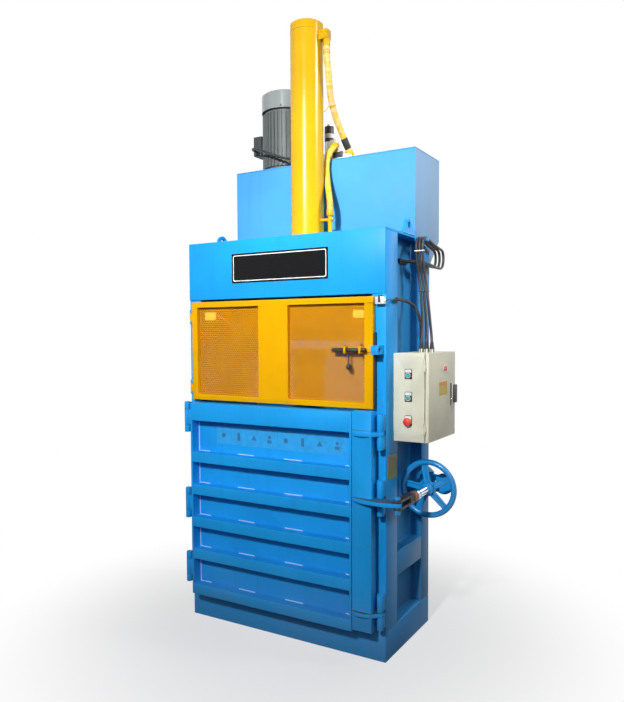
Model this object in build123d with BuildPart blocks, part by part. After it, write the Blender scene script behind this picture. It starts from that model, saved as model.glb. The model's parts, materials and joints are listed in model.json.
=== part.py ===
"""Vertical hydraulic baler: frame, two doors, screw clamp, press cylinder, power unit and control box.

Millimetres, +Z up. The origin is the centre of the base on the floor, and the front faces -Y.
"""

import os
from math import atan2, cos, hypot, pi, radians, tan

from build123d import *

os.makedirs("parts", exist_ok=True)

# Frame
frame_width = 1200
frame_depth = 570
frame_height = 2100
base_height = 150
base_wall = 10
wall_sheet = 6
recess_depth = 65
rear_recess = 24
front_post_depth = 137
rear_post_depth = 108
post_wall = 8
top_plate = 12
header_height = 312
header_plate = 6
beam_height = 120
lower_beam_bottom = 387
upper_beam_drop = 920
rear_top_beam_drop = 400
side_slot_drop = 143
side_slot_height = 26
side_slot_length = 263
lug_plate = 15
lug_width = 162
lug_height = 78
lug_hole_radius = 16
lug_offset = -82
lug_corner = 40
lug_eye_drop = 32

# Pins and barrels of the bale door and of its clamp
pin_inset = 8
pin_stand_off = 45
pin_radius = 10
barrel_radius = 16.5
pin_clearance = 0.05
barrel_gap = 1
barrel_web = 14
pin_head_radius = 14
pin_head_height = 5

# Bale door
door_left_inset = 65
door_right_inset = 140
door_floor_gap = 8
feed_height = 538
door_front = 90
door_back = 4
door_skin = 8
skin_lip = 34
rib_depth = 62
rib_height = 55
rib_wall = 6
rib_count = 4
bottom_bay = 143
top_bay = 175
door_top_rail = 98
end_flat = 12
hinge_length = 165
hinge_middle = 85
hinge_drop = 87
hinge_rises = (495, 130)
hinge_leaf = 12

# Door clamp
clamp_gap = 4
clamp_width = 102
clamp_depth = 50
clamp_wall = 10
clamp_floor_gap = 13
clamp_head_gap = 7
clamp_lug = 20
clamp_lug_drop = 101
clamp_lug_rise = 98
lever_rise = 650
clamp_open = 55
upper_barrel = 80
lower_barrel = 65
lug_boss_radius = 20
lug_bulge = 24
lug_heel = 18
lever_reach = 108
lever_set_forward = 47
lever_half_width = 21
bolt_radius = 9
bolt_head = 13
bolt_head_radius = 16

# Fork, lock spindle and handwheel
fork_arm = 12
fork_width = 36
fork_slot = 120
fork_length = 175
spindle_radius = 12
spindle_length = 592
journal_gap = 0.3
journal_head_radius = 14
journal_head = 10
collar_radius = 26
collar_length = 69
collar_chamfer = 3
sleeve_radius = 20
sleeve_length = 124
wheel_radius = 150
wheel_rim_radius = 14
wheel_hub_radius = 40
wheel_hub_length = 46
wheel_hub_taper = 6
wheel_spokes = 5
wheel_first_spoke = 100
spoke_start = 20
spoke_width = 26
spoke_thickness = 14
spoke_rib = 6
bearing_plate = 16
bearing_place = 149
bearing_half_height = 58
bearing_nose = 44
bearing_reach = 187
bearing_slot_gap = 1
bearing_foot = 12

# Feed door
feed_left_inset = 35
feed_right_inset = 53
feed_foot_gap = 13
feed_head_gap = 13
feed_depth = 26
feed_stand_off = 4
feed_left_stile = 38
feed_right_stile = 46
feed_rail = 30
mullion_left = -116
mullion_right = 66
screen_sheet = 3
screen_set_back = 22
screen_slot = 8
screen_slot_pitch = 17.5
screen_slot_columns = 4
screen_bridge = 10
screen_border = 8
screen_gap = 0.3
feed_hinge_offsets = (83, 65)
feed_hinge_length = 74
feed_hinge_middle = 42
feed_hinge_leaf = 6
feed_pin_radius = 5
feed_barrel_radius = 8
feed_barrel_web = 10
feed_hinge_offset = 13
feed_pin_stand_off = 20
switch_key_width = 32
switch_key_height = 20
switch_key_reach = 5
switch_key_thickness = 6

# Slide bolt of the feed door
bolt_rise = 283
bolt_left_reach = 209
bolt_tip_inset = 27
bolt_rod_radius = 10
bolt_stand_off = 22
bolt_clearance = 0.3
bolt_chamfer = 1.2
bolt_guide_insets = (135, 54)
bolt_guide_width = 10
bolt_guide_half = 17
bolt_strip_height = 26
bolt_strip_reach = 142
bolt_strip = 4
bolt_handle_inset = 119
bolt_handle_drop = 82
bolt_handle_radius = 4
bolt_knob_radius = 14
keeper_gap = 6
keeper_width = 38
keeper_height = 44
keeper_wall = 6

# Door switch
switch_inset = 44
switch_width = 44
switch_height = 34
switch_depth = 30
switch_drop = 38
switch_round = 3
switch_gland_radius = 5
switch_gland = 6

# Ram
cylinder_radius = 90
cylinder_wall = 15
cylinder_rise = 1170
cylinder_drop = 125
cylinder_cap = 50
cylinder_edge = 4
cylinder_flange_radius = 130
cylinder_flange = 25
cylinder_hole_gap = 0.3
crosshead_plate = 25
crosshead_half = 150
crosshead_web = 12
crosshead_drop = 110
gland_length = 60
rod_radius = 40
rod_flange_radius = 100
rod_flange = 25
piston_length = 50
piston_top_gap = 30
sliding_gap = 0.3
platen_drop = 300
platen_plate = 25
platen_web = 12
platen_height = 145
platen_gap = 8
platen_web_places = (118, 320)
port_block_reach = 48
port_block_width = 46
port_block_drop = 102
port_block_height = 49
port_radius = 6
lower_port_drop = 44
lower_port_boss = 18
lower_port_reach = 10
pipe_reach = 52
pipe_radius = 12
pipe_rise = 132
pipe_bend = 22
pipe_clip_rise = 106
pipe_clip_height = 13
pipe_clip_half = 14

# Tank, motor, pump and valves
tank_inset = 22
tank_set_back = 416
tank_depth = 359
tank_height = 471
tank_rear_rise = 18
tank_heel_drop = 192
tank_wall = 5
tank_slope_floor = 12
tank_lid = 6
motor_inset = 246
motor_set_back = 179
motor_radius = 134
motor_fin = 11
motor_fin_width = 5
motor_fin_count = 36
motor_foot_radius = 125
motor_foot = 26
motor_body_height = 330
motor_bell = 36
motor_bore = 82
motor_disc = 12
cowl_radius = 149
cowl_rise = 360
cowl_height = 104
cowl_wall = 3
cowl_hole = 62
cowl_edge = 8
rotor_radius = 80
rotor_gap = 12
shaft_radius = 19
fan_hub_radius = 34
fan_radius = 120
fan_rise = 14
fan_height = 40
fan_blades = 8
fan_blade = 4
terminal_reach = 206
terminal_width = 56
terminal_depth = 110
terminal_rise = 124
terminal_height = 118
terminal_lid = 8
terminal_neck = 40
terminal_round = 6
terminal_groove = 2
pump_radius = 62
pump_flange_radius = 80
pump_flange = 12
pump_length = 150
shaft_in_pump = 60
valve_set_back = 84
valve_depth = 90
manifold_left = 0
manifold_right = 132
manifold_height = 46
manifold_step = 15
valve_left = 50
valve_right = 100
valve_height = 73
coil_x = 19
coil_radius = 25
coil_rise = 219
coil_nut_radius = 14
coil_nut = 12
side_coil_radius = 20
side_coil_length = 56

# Hoses and their routes
hose_radius = 17
bend_share = 0.45
fitting_radius = 19
fitting_length = 34
upper_hose_under_port = (
    (34, 0, -34),
    (34, 0, -96),
    (41, 6, -160),
    (38, 20, -222),
)
upper_hose_over_tank = (
    (29, -79, 303),
    (28, -27, 221),
    (37, 19, 157),
    (49, 53, 97),
    (59, 77, 55),
)
lower_hose_over_tank = (
    (-6, 11, 63),
    (-10, -7, 47),
    (-16, -25, 19),
    (-21, -36, -19),
    (-21, -40, -66),
)
lower_hose_over_pipe = (
    (-60, 76, 223),
    (-40, 50, 166),
    (-11, 10, 113),
    (0, 0, 68),
    (0, 0, 34),
)

# Cables, conduit, glands and hook
cable_radius = 7
cable_gland_radius = 12
cable_gland = 18
conduit_radius = 8
switch_cable_radius = 2.5
motor_gland_radius = 10
motor_gland = 16
hook_strap = 4
hook_width = 40
hook_place = 92
hook_drop = 22
hook_reach = 62
hook_radius = 4
hook_end_radius = 9
hook_end = 5
cable_entry_reach = 8
cable_entry_limits = (24, 104)
cable_entry_lip = 4
control_cable_routes = (
    (
        (83, -45, -579),
        (83, -45, -525),
        (70, 2, -468),
        (49, 52, -388),
        (30, 86, -304),
        (18, 90, -216),
        (13, 68, -132),
        (13, 56, -38),
        (13, 92, -3),
        (14, 172, -22),
        (15, 250, -44),
        (17, 336, -58),
        (17, 328, -146),
        (15, 240, -144),
        (13, 165, -134),
        (-9, 113, -131),
        (-57, 88, -130),
    ),
    (
        (111, -45, -579),
        (111, -45, -525),
        (92, 2, -468),
        (67, 54, -388),
        (47, 88, -304),
        (35, 90, -216),
        (30, 68, -132),
        (30, 56, -38),
        (30, 92, -3),
        (31, 182, -24),
        (33, 262, -44),
        (34, 350, -56),
        (34, 342, -148),
        (32, 252, -148),
        (30, 160, -137),
        (2, 92, -131),
        (-57, 64, -130),
    ),
    (
        (139, -45, -579),
        (139, -45, -525),
        (114, 2, -466),
        (86, 56, -388),
        (64, 90, -304),
        (52, 90, -216),
        (47, 68, -132),
        (47, 56, -38),
        (47, 92, -3),
        (48, 190, -26),
        (50, 276, -44),
        (51, 364, -54),
        (51, 356, -150),
        (49, 262, -154),
        (47, 150, -139),
        (16, 70, -131),
        (-57, 40, -130),
    ),
)
conduit_route = (
    (50, 36, -579),
    (50, 36, -530),
    (42, 62, -478),
    (31, 64, -420),
    (25, 28, -373),
    (22, -32, -350),
    (20, -98, -341),
    (18, -156, -338),
    (18, -205, -338),
)
switch_cable_route = (
    (6, -15, 0),
    (30, -15, 0),
    (46, 6, 3),
    (38, 34, 6),
    (18, 56, 8),
    (18, 80, 8),
)
motor_cable_route = (
    (-500, 108, 141),
    (-500, 66, 141),
    (-478, 24, 139),
    (-434, -2, 130),
    (-376, -8, 107),
    (-316, -6, 80),
    (-256, 0, 55),
    (-196, 4, 38),
    (-136, -4, 30),
    (-94, -22, -8),
    (-80, -27, -64),
    (-79, -24, -152),
    (-81, -22, -262),
    (-80, -20, -362),
    (-80, -20, -455),
)

# Control box
box_depth = 160
box_front = -195
box_back = 181
box_height = 428
box_drop = 597
box_wall = 2.5
box_lip = 15
box_seal_gap = 4
box_door = 17
box_door_wall = 2
box_seal = 12
box_seal_inset = 6
box_seal_clearance = 0.3
box_hinge_drops = (363, 65)
box_hinge_length = 50
box_hinge_middle = 26
box_hinge_stand_off = 6
box_pin_radius = 2.5
box_barrel_radius = 5
box_leaf = 9
button_drops = (107, 217)
stop_drop = 331
button_inset = 78
bezel_radius = 15
bezel_height = 8
bezel_sleeve = 13
button_radius = 11
button_gap = 0.3
button_proud = 2
button_edge = 1
button_depth = 10
button_well = 15
contact_block = 40
contact_block_width = 30
stop_radius = 20
stop_cap = 14
stop_neck = 14
lamp_y = 12
lamp_drop = 80
lamp_radius = 13
lamp_ring = 15
lamp_ring_height = 4
lamp_dome = 9
handle_y = 145
handle_drop = 281
handle_height = 122
handle_width = 40
handle_plate = 6
handle_pivot_drop = 181
handle_pivot_radius = 8
handle_lever_width = 24
handle_lever_length = 92
handle_lever_thickness = 14
handle_gap = 1
handle_round = 6
plate_stand_off = 10
plate_thickness = 2
plate_inset = 24
stand_off_radius = 5
contactor_depth = 44
contactor_height = 74
contactor_width = 45
contactor_count = 3

half_width = frame_width / 2
front = -frame_depth / 2
back = frame_depth / 2
post_width = recess_depth + wall_sheet
chamber_half = half_width - post_width
post_top = frame_height - top_plate
upper_beam_bottom = frame_height - upper_beam_drop
rear_top_beam_bottom = frame_height - rear_top_beam_drop
side_slot_bottom = frame_height - side_slot_drop
front_post_back = front + front_post_depth
rear_post_front = back - rear_post_depth
header_bottom = frame_height - header_height
door_left = -half_width + door_left_inset
door_right = half_width - door_right_inset
door_bottom = base_height + door_floor_gap
feed_top = header_bottom - feed_head_gap
feed_bottom = feed_top - feed_height
door_top = feed_bottom - feed_foot_gap
hinge_heights = (door_top - hinge_drop, *(door_bottom + rise for rise in hinge_rises))
lever_z = door_bottom + lever_rise
clamp_lug_heights = (door_top - clamp_lug_drop, lever_z, door_bottom + clamp_lug_rise)
first_rib = door_bottom + rib_height + bottom_bay
last_rib = door_top - door_top_rail - top_bay - rib_height
rib_pitch = (last_rib - first_rib) / (rib_count - 1)
clamp_bottom = door_bottom + clamp_floor_gap
clamp_top = door_top + clamp_head_gap
pin_x = half_width - pin_inset
pin_y = front - pin_stand_off
lever_x = pin_x + lever_reach
lever_y = pin_y - lever_set_forward
lever_radius = hypot(lever_reach, lever_set_forward)
lever_turn = atan2(-lever_set_forward, lever_reach)
lever_sweep_high = lever_radius - lever_reach
lever_sweep_low = lever_radius * cos(lever_turn + radians(clamp_open)) - lever_reach
feed_left = -half_width + feed_left_inset
feed_right = half_width - feed_right_inset
feed_hinge_heights = (feed_top - feed_hinge_offsets[0], feed_bottom + feed_hinge_offsets[1])
feed_front = front - feed_stand_off - feed_depth
feed_back = front - feed_stand_off
feed_pin_x = feed_left - feed_hinge_offset
feed_pin_y = front - feed_pin_stand_off
bolt_y = feed_front - bolt_stand_off
bolt_height = feed_bottom + bolt_rise
bolt_left = feed_right - bolt_left_reach
bolt_tip = feed_right - bolt_tip_inset
bolt_strip_left = feed_right - bolt_strip_reach
bolt_handle_place = feed_right - bolt_handle_inset
bolt_guide_places = [feed_right - inset for inset in bolt_guide_insets]
keeper_left = feed_right + keeper_gap
switch_bottom = feed_top - switch_drop
switch_left = half_width - switch_inset
hook_height = frame_height - hook_drop
switch_key_end = feed_right + switch_key_reach
cylinder_top = frame_height + cylinder_rise
cylinder_bottom = frame_height - cylinder_drop
crosshead_bottom = frame_height - crosshead_drop
platen_bottom = frame_height - platen_drop
port_block_bottom = cylinder_top - port_block_drop
port_block_end = cylinder_radius + port_block_reach
lower_port_height = frame_height - lower_port_drop
lower_port_end = cylinder_radius + lower_port_reach
pipe_x = cylinder_radius + pipe_reach
pipe_top = frame_height + pipe_rise
pipe_clip_bottom = frame_height + pipe_clip_rise
tank_top = frame_height + tank_height
tank_rear_bottom = frame_height + tank_rear_rise
tank_heel = frame_height - tank_heel_drop
tank_half_width = half_width - tank_inset
tank_front = front + tank_set_back
tank_rear = tank_front + tank_depth
motor_x = -tank_half_width + motor_inset
motor_y = tank_front + motor_set_back
cowl_bottom = tank_top + cowl_rise
cowl_top = cowl_bottom + cowl_height
fan_bottom = cowl_bottom + fan_rise
terminal_bottom = tank_top + terminal_rise
terminal_left = motor_x - terminal_reach
valve_y = tank_front + valve_set_back
coil_top = tank_top + coil_rise
bore_radius = cylinder_radius - cylinder_wall
piston_top = cylinder_top - cylinder_cap - piston_top_gap
lid_bottom = tank_top - tank_lid
upper_hose_points = [
    (cylinder_radius + x, y, port_block_bottom + z) for x, y, z in upper_hose_under_port
] + [(cylinder_radius + x, tank_front + y, tank_top + z) for x, y, z in upper_hose_over_tank]
lower_hose_points = [
    (cylinder_radius + x, tank_front + y, tank_top + z) for x, y, z in lower_hose_over_tank
] + [(pipe_x + x, y, pipe_top + z) for x, y, z in lower_hose_over_pipe]
control_cable_points = [
    [(half_width + x, y, frame_height + z) for x, y, z in route] for route in control_cable_routes
]
conduit_points = [(half_width + x, y, frame_height + z) for x, y, z in conduit_route]
switch_cable_points = [
    (half_width + x, front + y, switch_bottom + switch_height / 2 + z) for x, y, z in switch_cable_route
]
motor_cable_points = [(x, tank_front + y, tank_top + z) for x, y, z in motor_cable_route]
box_right = half_width + box_depth
box_top = frame_height - box_drop
box_bottom = box_top - box_height
box_hinge_heights = [box_top - drop for drop in box_hinge_drops]
button_heights = [box_top - drop for drop in button_drops]
stop_height = box_top - stop_drop
lamp_height = box_top - lamp_drop
handle_bottom = box_top - handle_drop
handle_pivot_height = box_top - handle_pivot_drop
door_inner = box_right + box_seal_gap
door_outer = door_inner + box_door
box_pin_x = (box_right + door_inner) / 2
box_pin_y = box_front - box_hinge_stand_off
button_x = half_width + button_inset


def keep(builder, name):
    """Label one finished piece and write it as its own file."""
    builder.part.label = name
    export_step(builder.part, f"parts/{name}.step")


def slab(x, y, z, mode=Mode.ADD):
    """A plate or block between two limits along each axis, in the part that is open."""
    with Locations(((x[0] + x[1]) / 2, (y[0] + y[1]) / 2, (z[0] + z[1]) / 2)):
        Box(x[1] - x[0], y[1] - y[0], z[1] - z[0], mode=mode)


def upright(radius, x, y, z, mode=Mode.ADD):
    """A vertical round between two heights."""
    with Locations((x, y, (z[0] + z[1]) / 2)):
        Cylinder(radius, z[1] - z[0], mode=mode)


def crosswise(radius, x, y, z, mode=Mode.ADD):
    """A round along X between two limits."""
    with Locations(((x[0] + x[1]) / 2, y, z)):
        Cylinder(radius, x[1] - x[0], rotation=(0, 90, 0), mode=mode)


def fore_and_aft(radius, x, y, z, mode=Mode.ADD):
    """A round along Y between two limits."""
    with Locations((x, (y[0] + y[1]) / 2, z)):
        Cylinder(radius, y[1] - y[0], rotation=(90, 0, 0), mode=mode)


def base_frame():
    """Closed skirt box that carries the posts, with the chamber floor as its top."""
    with BuildPart() as base:
        slab((-half_width, half_width), (front, back), (0, base_height))
        slab(
            (-half_width + base_wall, half_width - base_wall),
            (front + base_wall, back - base_wall),
            (base_wall, base_height - top_plate),
            mode=Mode.SUBTRACT,
        )
    keep(base, "base_frame")


def hinge_limits(middle, length, door_length):
    """Heights of the two fixed barrels and of the door's barrel between them."""
    low = middle - length / 2
    high = middle + length / 2
    door = (middle - door_length / 2, middle + door_length / 2)
    return (low, door[0] - barrel_gap), door, (door[1] + barrel_gap, high)


def clamp_limits(middle):
    """Heights of the fixed barrels below and above one clamp lug."""
    low = middle - clamp_lug / 2 - barrel_gap
    high = middle + clamp_lug / 2 + barrel_gap
    return (low - lower_barrel, low), (high, high + upper_barrel)


def front_post(side, name, barrels):
    """Hollow front post with the fixed barrels of the bale door or clamp, and what the feed door needs."""
    with BuildPart() as post:
        with BuildSketch(Plane.XY.offset(base_height)):
            with Locations((side * (half_width - post_width / 2), front + front_post_depth / 2)):
                Rectangle(post_width, front_post_depth)
                Rectangle(post_width - 2 * post_wall, front_post_depth - 2 * post_wall, mode=Mode.SUBTRACT)
        extrude(amount=post_top - base_height)
        for low, high in barrels:
            slab(
                (side * pin_x - barrel_web / 2, side * pin_x + barrel_web / 2),
                (pin_y + pin_radius, front),
                (low, high),
            )
            upright(barrel_radius, side * pin_x, pin_y, (low, high))
            upright(pin_radius, side * pin_x, pin_y, (low, high), mode=Mode.SUBTRACT)
        if side < 0:
            for middle in feed_hinge_heights:
                for limits in hinge_limits(middle, feed_hinge_length, feed_hinge_middle)[::2]:
                    slab(
                        (feed_pin_x - feed_barrel_web / 2, feed_pin_x + feed_barrel_web / 2),
                        (feed_pin_y, front),
                        limits,
                    )
                    upright(feed_barrel_radius, feed_pin_x, feed_pin_y, limits)
                    upright(feed_pin_radius, feed_pin_x, feed_pin_y, limits, mode=Mode.SUBTRACT)
        else:
            keeper_front = bolt_y - bolt_rod_radius - bolt_clearance - keeper_wall
            keeper = (keeper_left, keeper_left + keeper_width)
            keeper_z = (bolt_height - keeper_height / 2, bolt_height + keeper_height / 2)
            slab(keeper, (keeper_front, front), keeper_z)
            crosswise(bolt_rod_radius + bolt_clearance, keeper, bolt_y, bolt_height, mode=Mode.SUBTRACT)
    keep(post, name)


def rear_post(side, name):
    """Hollow rear post."""
    with BuildPart() as post:
        with BuildSketch(Plane.XY.offset(base_height)):
            with Locations((side * (half_width - post_width / 2), back - rear_post_depth / 2)):
                Rectangle(post_width, rear_post_depth)
                Rectangle(post_width - 2 * post_wall, rear_post_depth - 2 * post_wall, mode=Mode.SUBTRACT)
        extrude(amount=post_top - base_height)
    keep(post, name)


def side_wall(side, name):
    """Chamber side sheet between the posts, with two cross beams and the guide slot."""
    inner = side * chamber_half
    outer = side * (chamber_half + wall_sheet)
    with BuildPart() as wall:
        slab(sorted((inner, outer)), (front_post_back, rear_post_front), (base_height, post_top))
        for bottom in (lower_beam_bottom, upper_beam_bottom):
            with BuildSketch(Plane.XZ.offset(-front_post_back)):
                with Locations((side * (half_width - recess_depth / 2), bottom + beam_height / 2)):
                    Rectangle(recess_depth, beam_height)
            extrude(amount=-(rear_post_front - front_post_back))
        slab(
            sorted((inner, outer)),
            (front_post_back, front_post_back + side_slot_length),
            (side_slot_bottom, side_slot_bottom + side_slot_height),
            mode=Mode.SUBTRACT,
        )
    keep(wall, name)


def rear_wall():
    """Chamber back sheet with three cross beams behind it."""
    sheet_back = back - rear_recess
    with BuildPart() as wall:
        slab((-chamber_half, chamber_half), (sheet_back - wall_sheet, sheet_back), (base_height, post_top))
        for bottom in (lower_beam_bottom, upper_beam_bottom, rear_top_beam_bottom):
            slab((-chamber_half, chamber_half), (sheet_back, back), (bottom, bottom + beam_height))
    keep(wall, "rear_wall")


def header():
    """Front plate of the header, its top plate with two lifting lugs, and the crosshead."""
    with BuildPart() as plate:
        slab((-half_width, half_width), (front - header_plate, front), (header_bottom, frame_height))
    keep(plate, "header_front_plate")

    with BuildPart() as top:
        slab((-half_width, half_width), (front, back), (post_top, frame_height))
        plate_z = (post_top, frame_height)
        upright(cylinder_radius + cylinder_hole_gap, 0, 0, plate_z, mode=Mode.SUBTRACT)
        upright(pipe_radius + cylinder_hole_gap, pipe_x, 0, plate_z, mode=Mode.SUBTRACT)
        corner_height = frame_height + lug_height - lug_corner
        for lug_left in (-half_width, half_width - lug_plate):
            with BuildSketch(Plane.YZ.offset(lug_left)):
                with BuildLine():
                    foot = Line((lug_offset, frame_height), (lug_offset + lug_width, frame_height))
                    rise = Line(foot @ 1, (lug_offset + lug_width - lug_corner, corner_height))
                    crown = ThreePointArc(
                        rise @ 1,
                        (lug_offset + lug_width / 2, frame_height + lug_height),
                        (lug_offset + lug_corner, corner_height),
                    )
                    Line(crown @ 1, foot @ 0)
                make_face()
                with Locations((lug_offset + lug_width / 2, frame_height + lug_height - lug_eye_drop)):
                    Circle(lug_hole_radius, mode=Mode.SUBTRACT)
            extrude(amount=lug_plate)
        gland_x = motor_cable_route[-1][0]
        gland_y = tank_front + motor_cable_route[-1][1]
        upright(cable_gland_radius, gland_x, gland_y, (frame_height, frame_height + motor_gland))
        strap_x = (half_width, half_width + hook_strap)
        strap_y = (hook_place - hook_width / 2, hook_place + hook_width / 2)
        slab(strap_x, strap_y, (hook_height - 2 * hook_radius, frame_height))
        hook_x = (half_width, half_width + hook_reach)
        crosswise(hook_radius, hook_x, hook_place, hook_height)
        crosswise(hook_end_radius, (hook_x[1], hook_x[1] + hook_end), hook_place, hook_height)
    keep(top, "header_top_plate")

    with BuildPart() as crosshead:
        profile_top = crosshead_bottom + crosshead_plate
        with BuildSketch(Plane.YZ.offset(-chamber_half)):
            with BuildLine():
                Polyline(
                    (-crosshead_half, crosshead_bottom),
                    (crosshead_half, crosshead_bottom),
                    (crosshead_half, post_top),
                    (crosshead_half - crosshead_web, post_top),
                    (crosshead_half - crosshead_web, profile_top),
                    (-crosshead_half + crosshead_web, profile_top),
                    (-crosshead_half + crosshead_web, post_top),
                    (-crosshead_half, post_top),
                    close=True,
                )
            make_face()
        extrude(amount=2 * chamber_half)
        hole = cylinder_radius + cylinder_hole_gap
        upright(hole, 0, 0, (crosshead_bottom, profile_top), mode=Mode.SUBTRACT)
    keep(crosshead, "cylinder_crosshead")


def bale_door():
    """Ribbed door frame, and its skin plate with the hinge leaves."""
    y_front = front - door_front
    skin_front = y_front + rib_depth
    rail_bottoms = [door_bottom] + [first_rib + i * rib_pitch for i in range(rib_count)]
    rails = [(bottom, rib_height) for bottom in rail_bottoms] + [(door_top - door_top_rail, door_top_rail)]
    inner_left = door_left + end_flat
    inner_right = door_right - end_flat

    with BuildPart() as grid:
        slab((door_left, inner_left), (y_front, skin_front), (door_bottom, door_top))
        slab((inner_right, door_right), (y_front, front - door_back), (door_bottom, door_top))
        for bottom, height in rails:
            with BuildSketch(Plane.YZ.offset(inner_left)):
                with Locations((y_front + rib_depth / 2, bottom + height / 2)):
                    Rectangle(rib_depth, height)
                with Locations((y_front + rib_depth / 2 + rib_wall / 2, bottom + height / 2)):
                    Rectangle(rib_depth - rib_wall, height - 2 * rib_wall, mode=Mode.SUBTRACT)
            extrude(amount=inner_right - inner_left)
    keep(grid, "bale_door_ribs")

    with BuildPart() as skin:
        slab((door_left - skin_lip, inner_right), (skin_front, skin_front + door_skin), (door_bottom, door_top))
        for middle in hinge_heights:
            door_limits = hinge_limits(middle, hinge_length, hinge_middle)[1]
            slab((-pin_x, door_left), (pin_y - hinge_leaf / 2, pin_y + hinge_leaf / 2), door_limits)
            slab(
                (door_left - end_flat, door_left),
                (pin_y - hinge_leaf / 2, skin_front + door_skin),
                door_limits,
            )
            upright(barrel_radius, -pin_x, pin_y, door_limits)
            upright(pin_radius + pin_clearance, -pin_x, pin_y, door_limits, mode=Mode.SUBTRACT)
    keep(skin, "bale_door_skin")


def clamp_lug_sketch(lever):
    """Crescent outline of one clamp lug; the middle one runs on as the lever."""
    left = door_right + clamp_gap
    y_front = front - door_front
    end = (pin_x + lever_reach, pin_y - lever_set_forward) if lever else (pin_x, pin_y)
    end_radius = lever_half_width if lever else lug_boss_radius
    with BuildSketch(Plane.XY) as outline:
        with BuildLine():
            bow = ThreePointArc(
                (left, y_front),
                ((left + end[0]) / 2, (y_front + end[1] - end_radius) / 2 - lug_bulge),
                (end[0], end[1] - end_radius),
            )
            close_end = Line(bow @ 1, end)
            heel = Line(close_end @ 1, (pin_x, pin_y + lug_heel))
            back_edge = Line(heel @ 1, (left, y_front + clamp_depth))
            Line(back_edge @ 1, bow @ 0)
        make_face()
        with Locations((pin_x, pin_y)):
            Circle(lug_boss_radius)
        with Locations(end):
            Circle(end_radius)
    return outline.sketch


def clamp():
    """Channel bar with three lugs, and the bolt that joins the lever to the fork."""
    left = door_right + clamp_gap
    right = left + clamp_width
    y_front = front - door_front
    with BuildPart() as bar:
        slab((left, right), (y_front, y_front + clamp_depth), (clamp_bottom, clamp_top))
        slab(
            (left + clamp_wall, right - clamp_wall),
            (y_front + clamp_wall, y_front + clamp_depth),
            (clamp_bottom + clamp_wall, clamp_top - clamp_wall),
            mode=Mode.SUBTRACT,
        )
        for middle in clamp_lug_heights:
            lever = middle == clamp_lug_heights[1]
            with BuildSketch(Plane.XY.offset(middle - clamp_lug / 2)):
                add(clamp_lug_sketch(lever))
            extrude(amount=clamp_lug)
        upright(pin_radius + pin_clearance, pin_x, pin_y, (clamp_bottom, clamp_top), mode=Mode.SUBTRACT)
        upright(
            bolt_radius,
            lever_x,
            lever_y,
            (lever_z - clamp_lug / 2, lever_z + clamp_lug / 2),
            mode=Mode.SUBTRACT,
        )
    keep(bar, "clamp_bar")

    arm_top = lever_z + clamp_lug / 2 + barrel_gap + fork_arm
    arm_bottom = lever_z - clamp_lug / 2 - barrel_gap - fork_arm
    with BuildPart() as bolt:
        upright(bolt_radius, lever_x, lever_y, (arm_bottom - barrel_gap, arm_top + barrel_gap))
        for low in (arm_top + barrel_gap, arm_bottom - barrel_gap - bolt_head):
            with BuildSketch(Plane.XY.offset(low)):
                with Locations((lever_x, lever_y)):
                    RegularPolygon(bolt_head_radius, 6)
            extrude(amount=bolt_head)
    keep(bolt, "lever_bolt")


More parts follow.
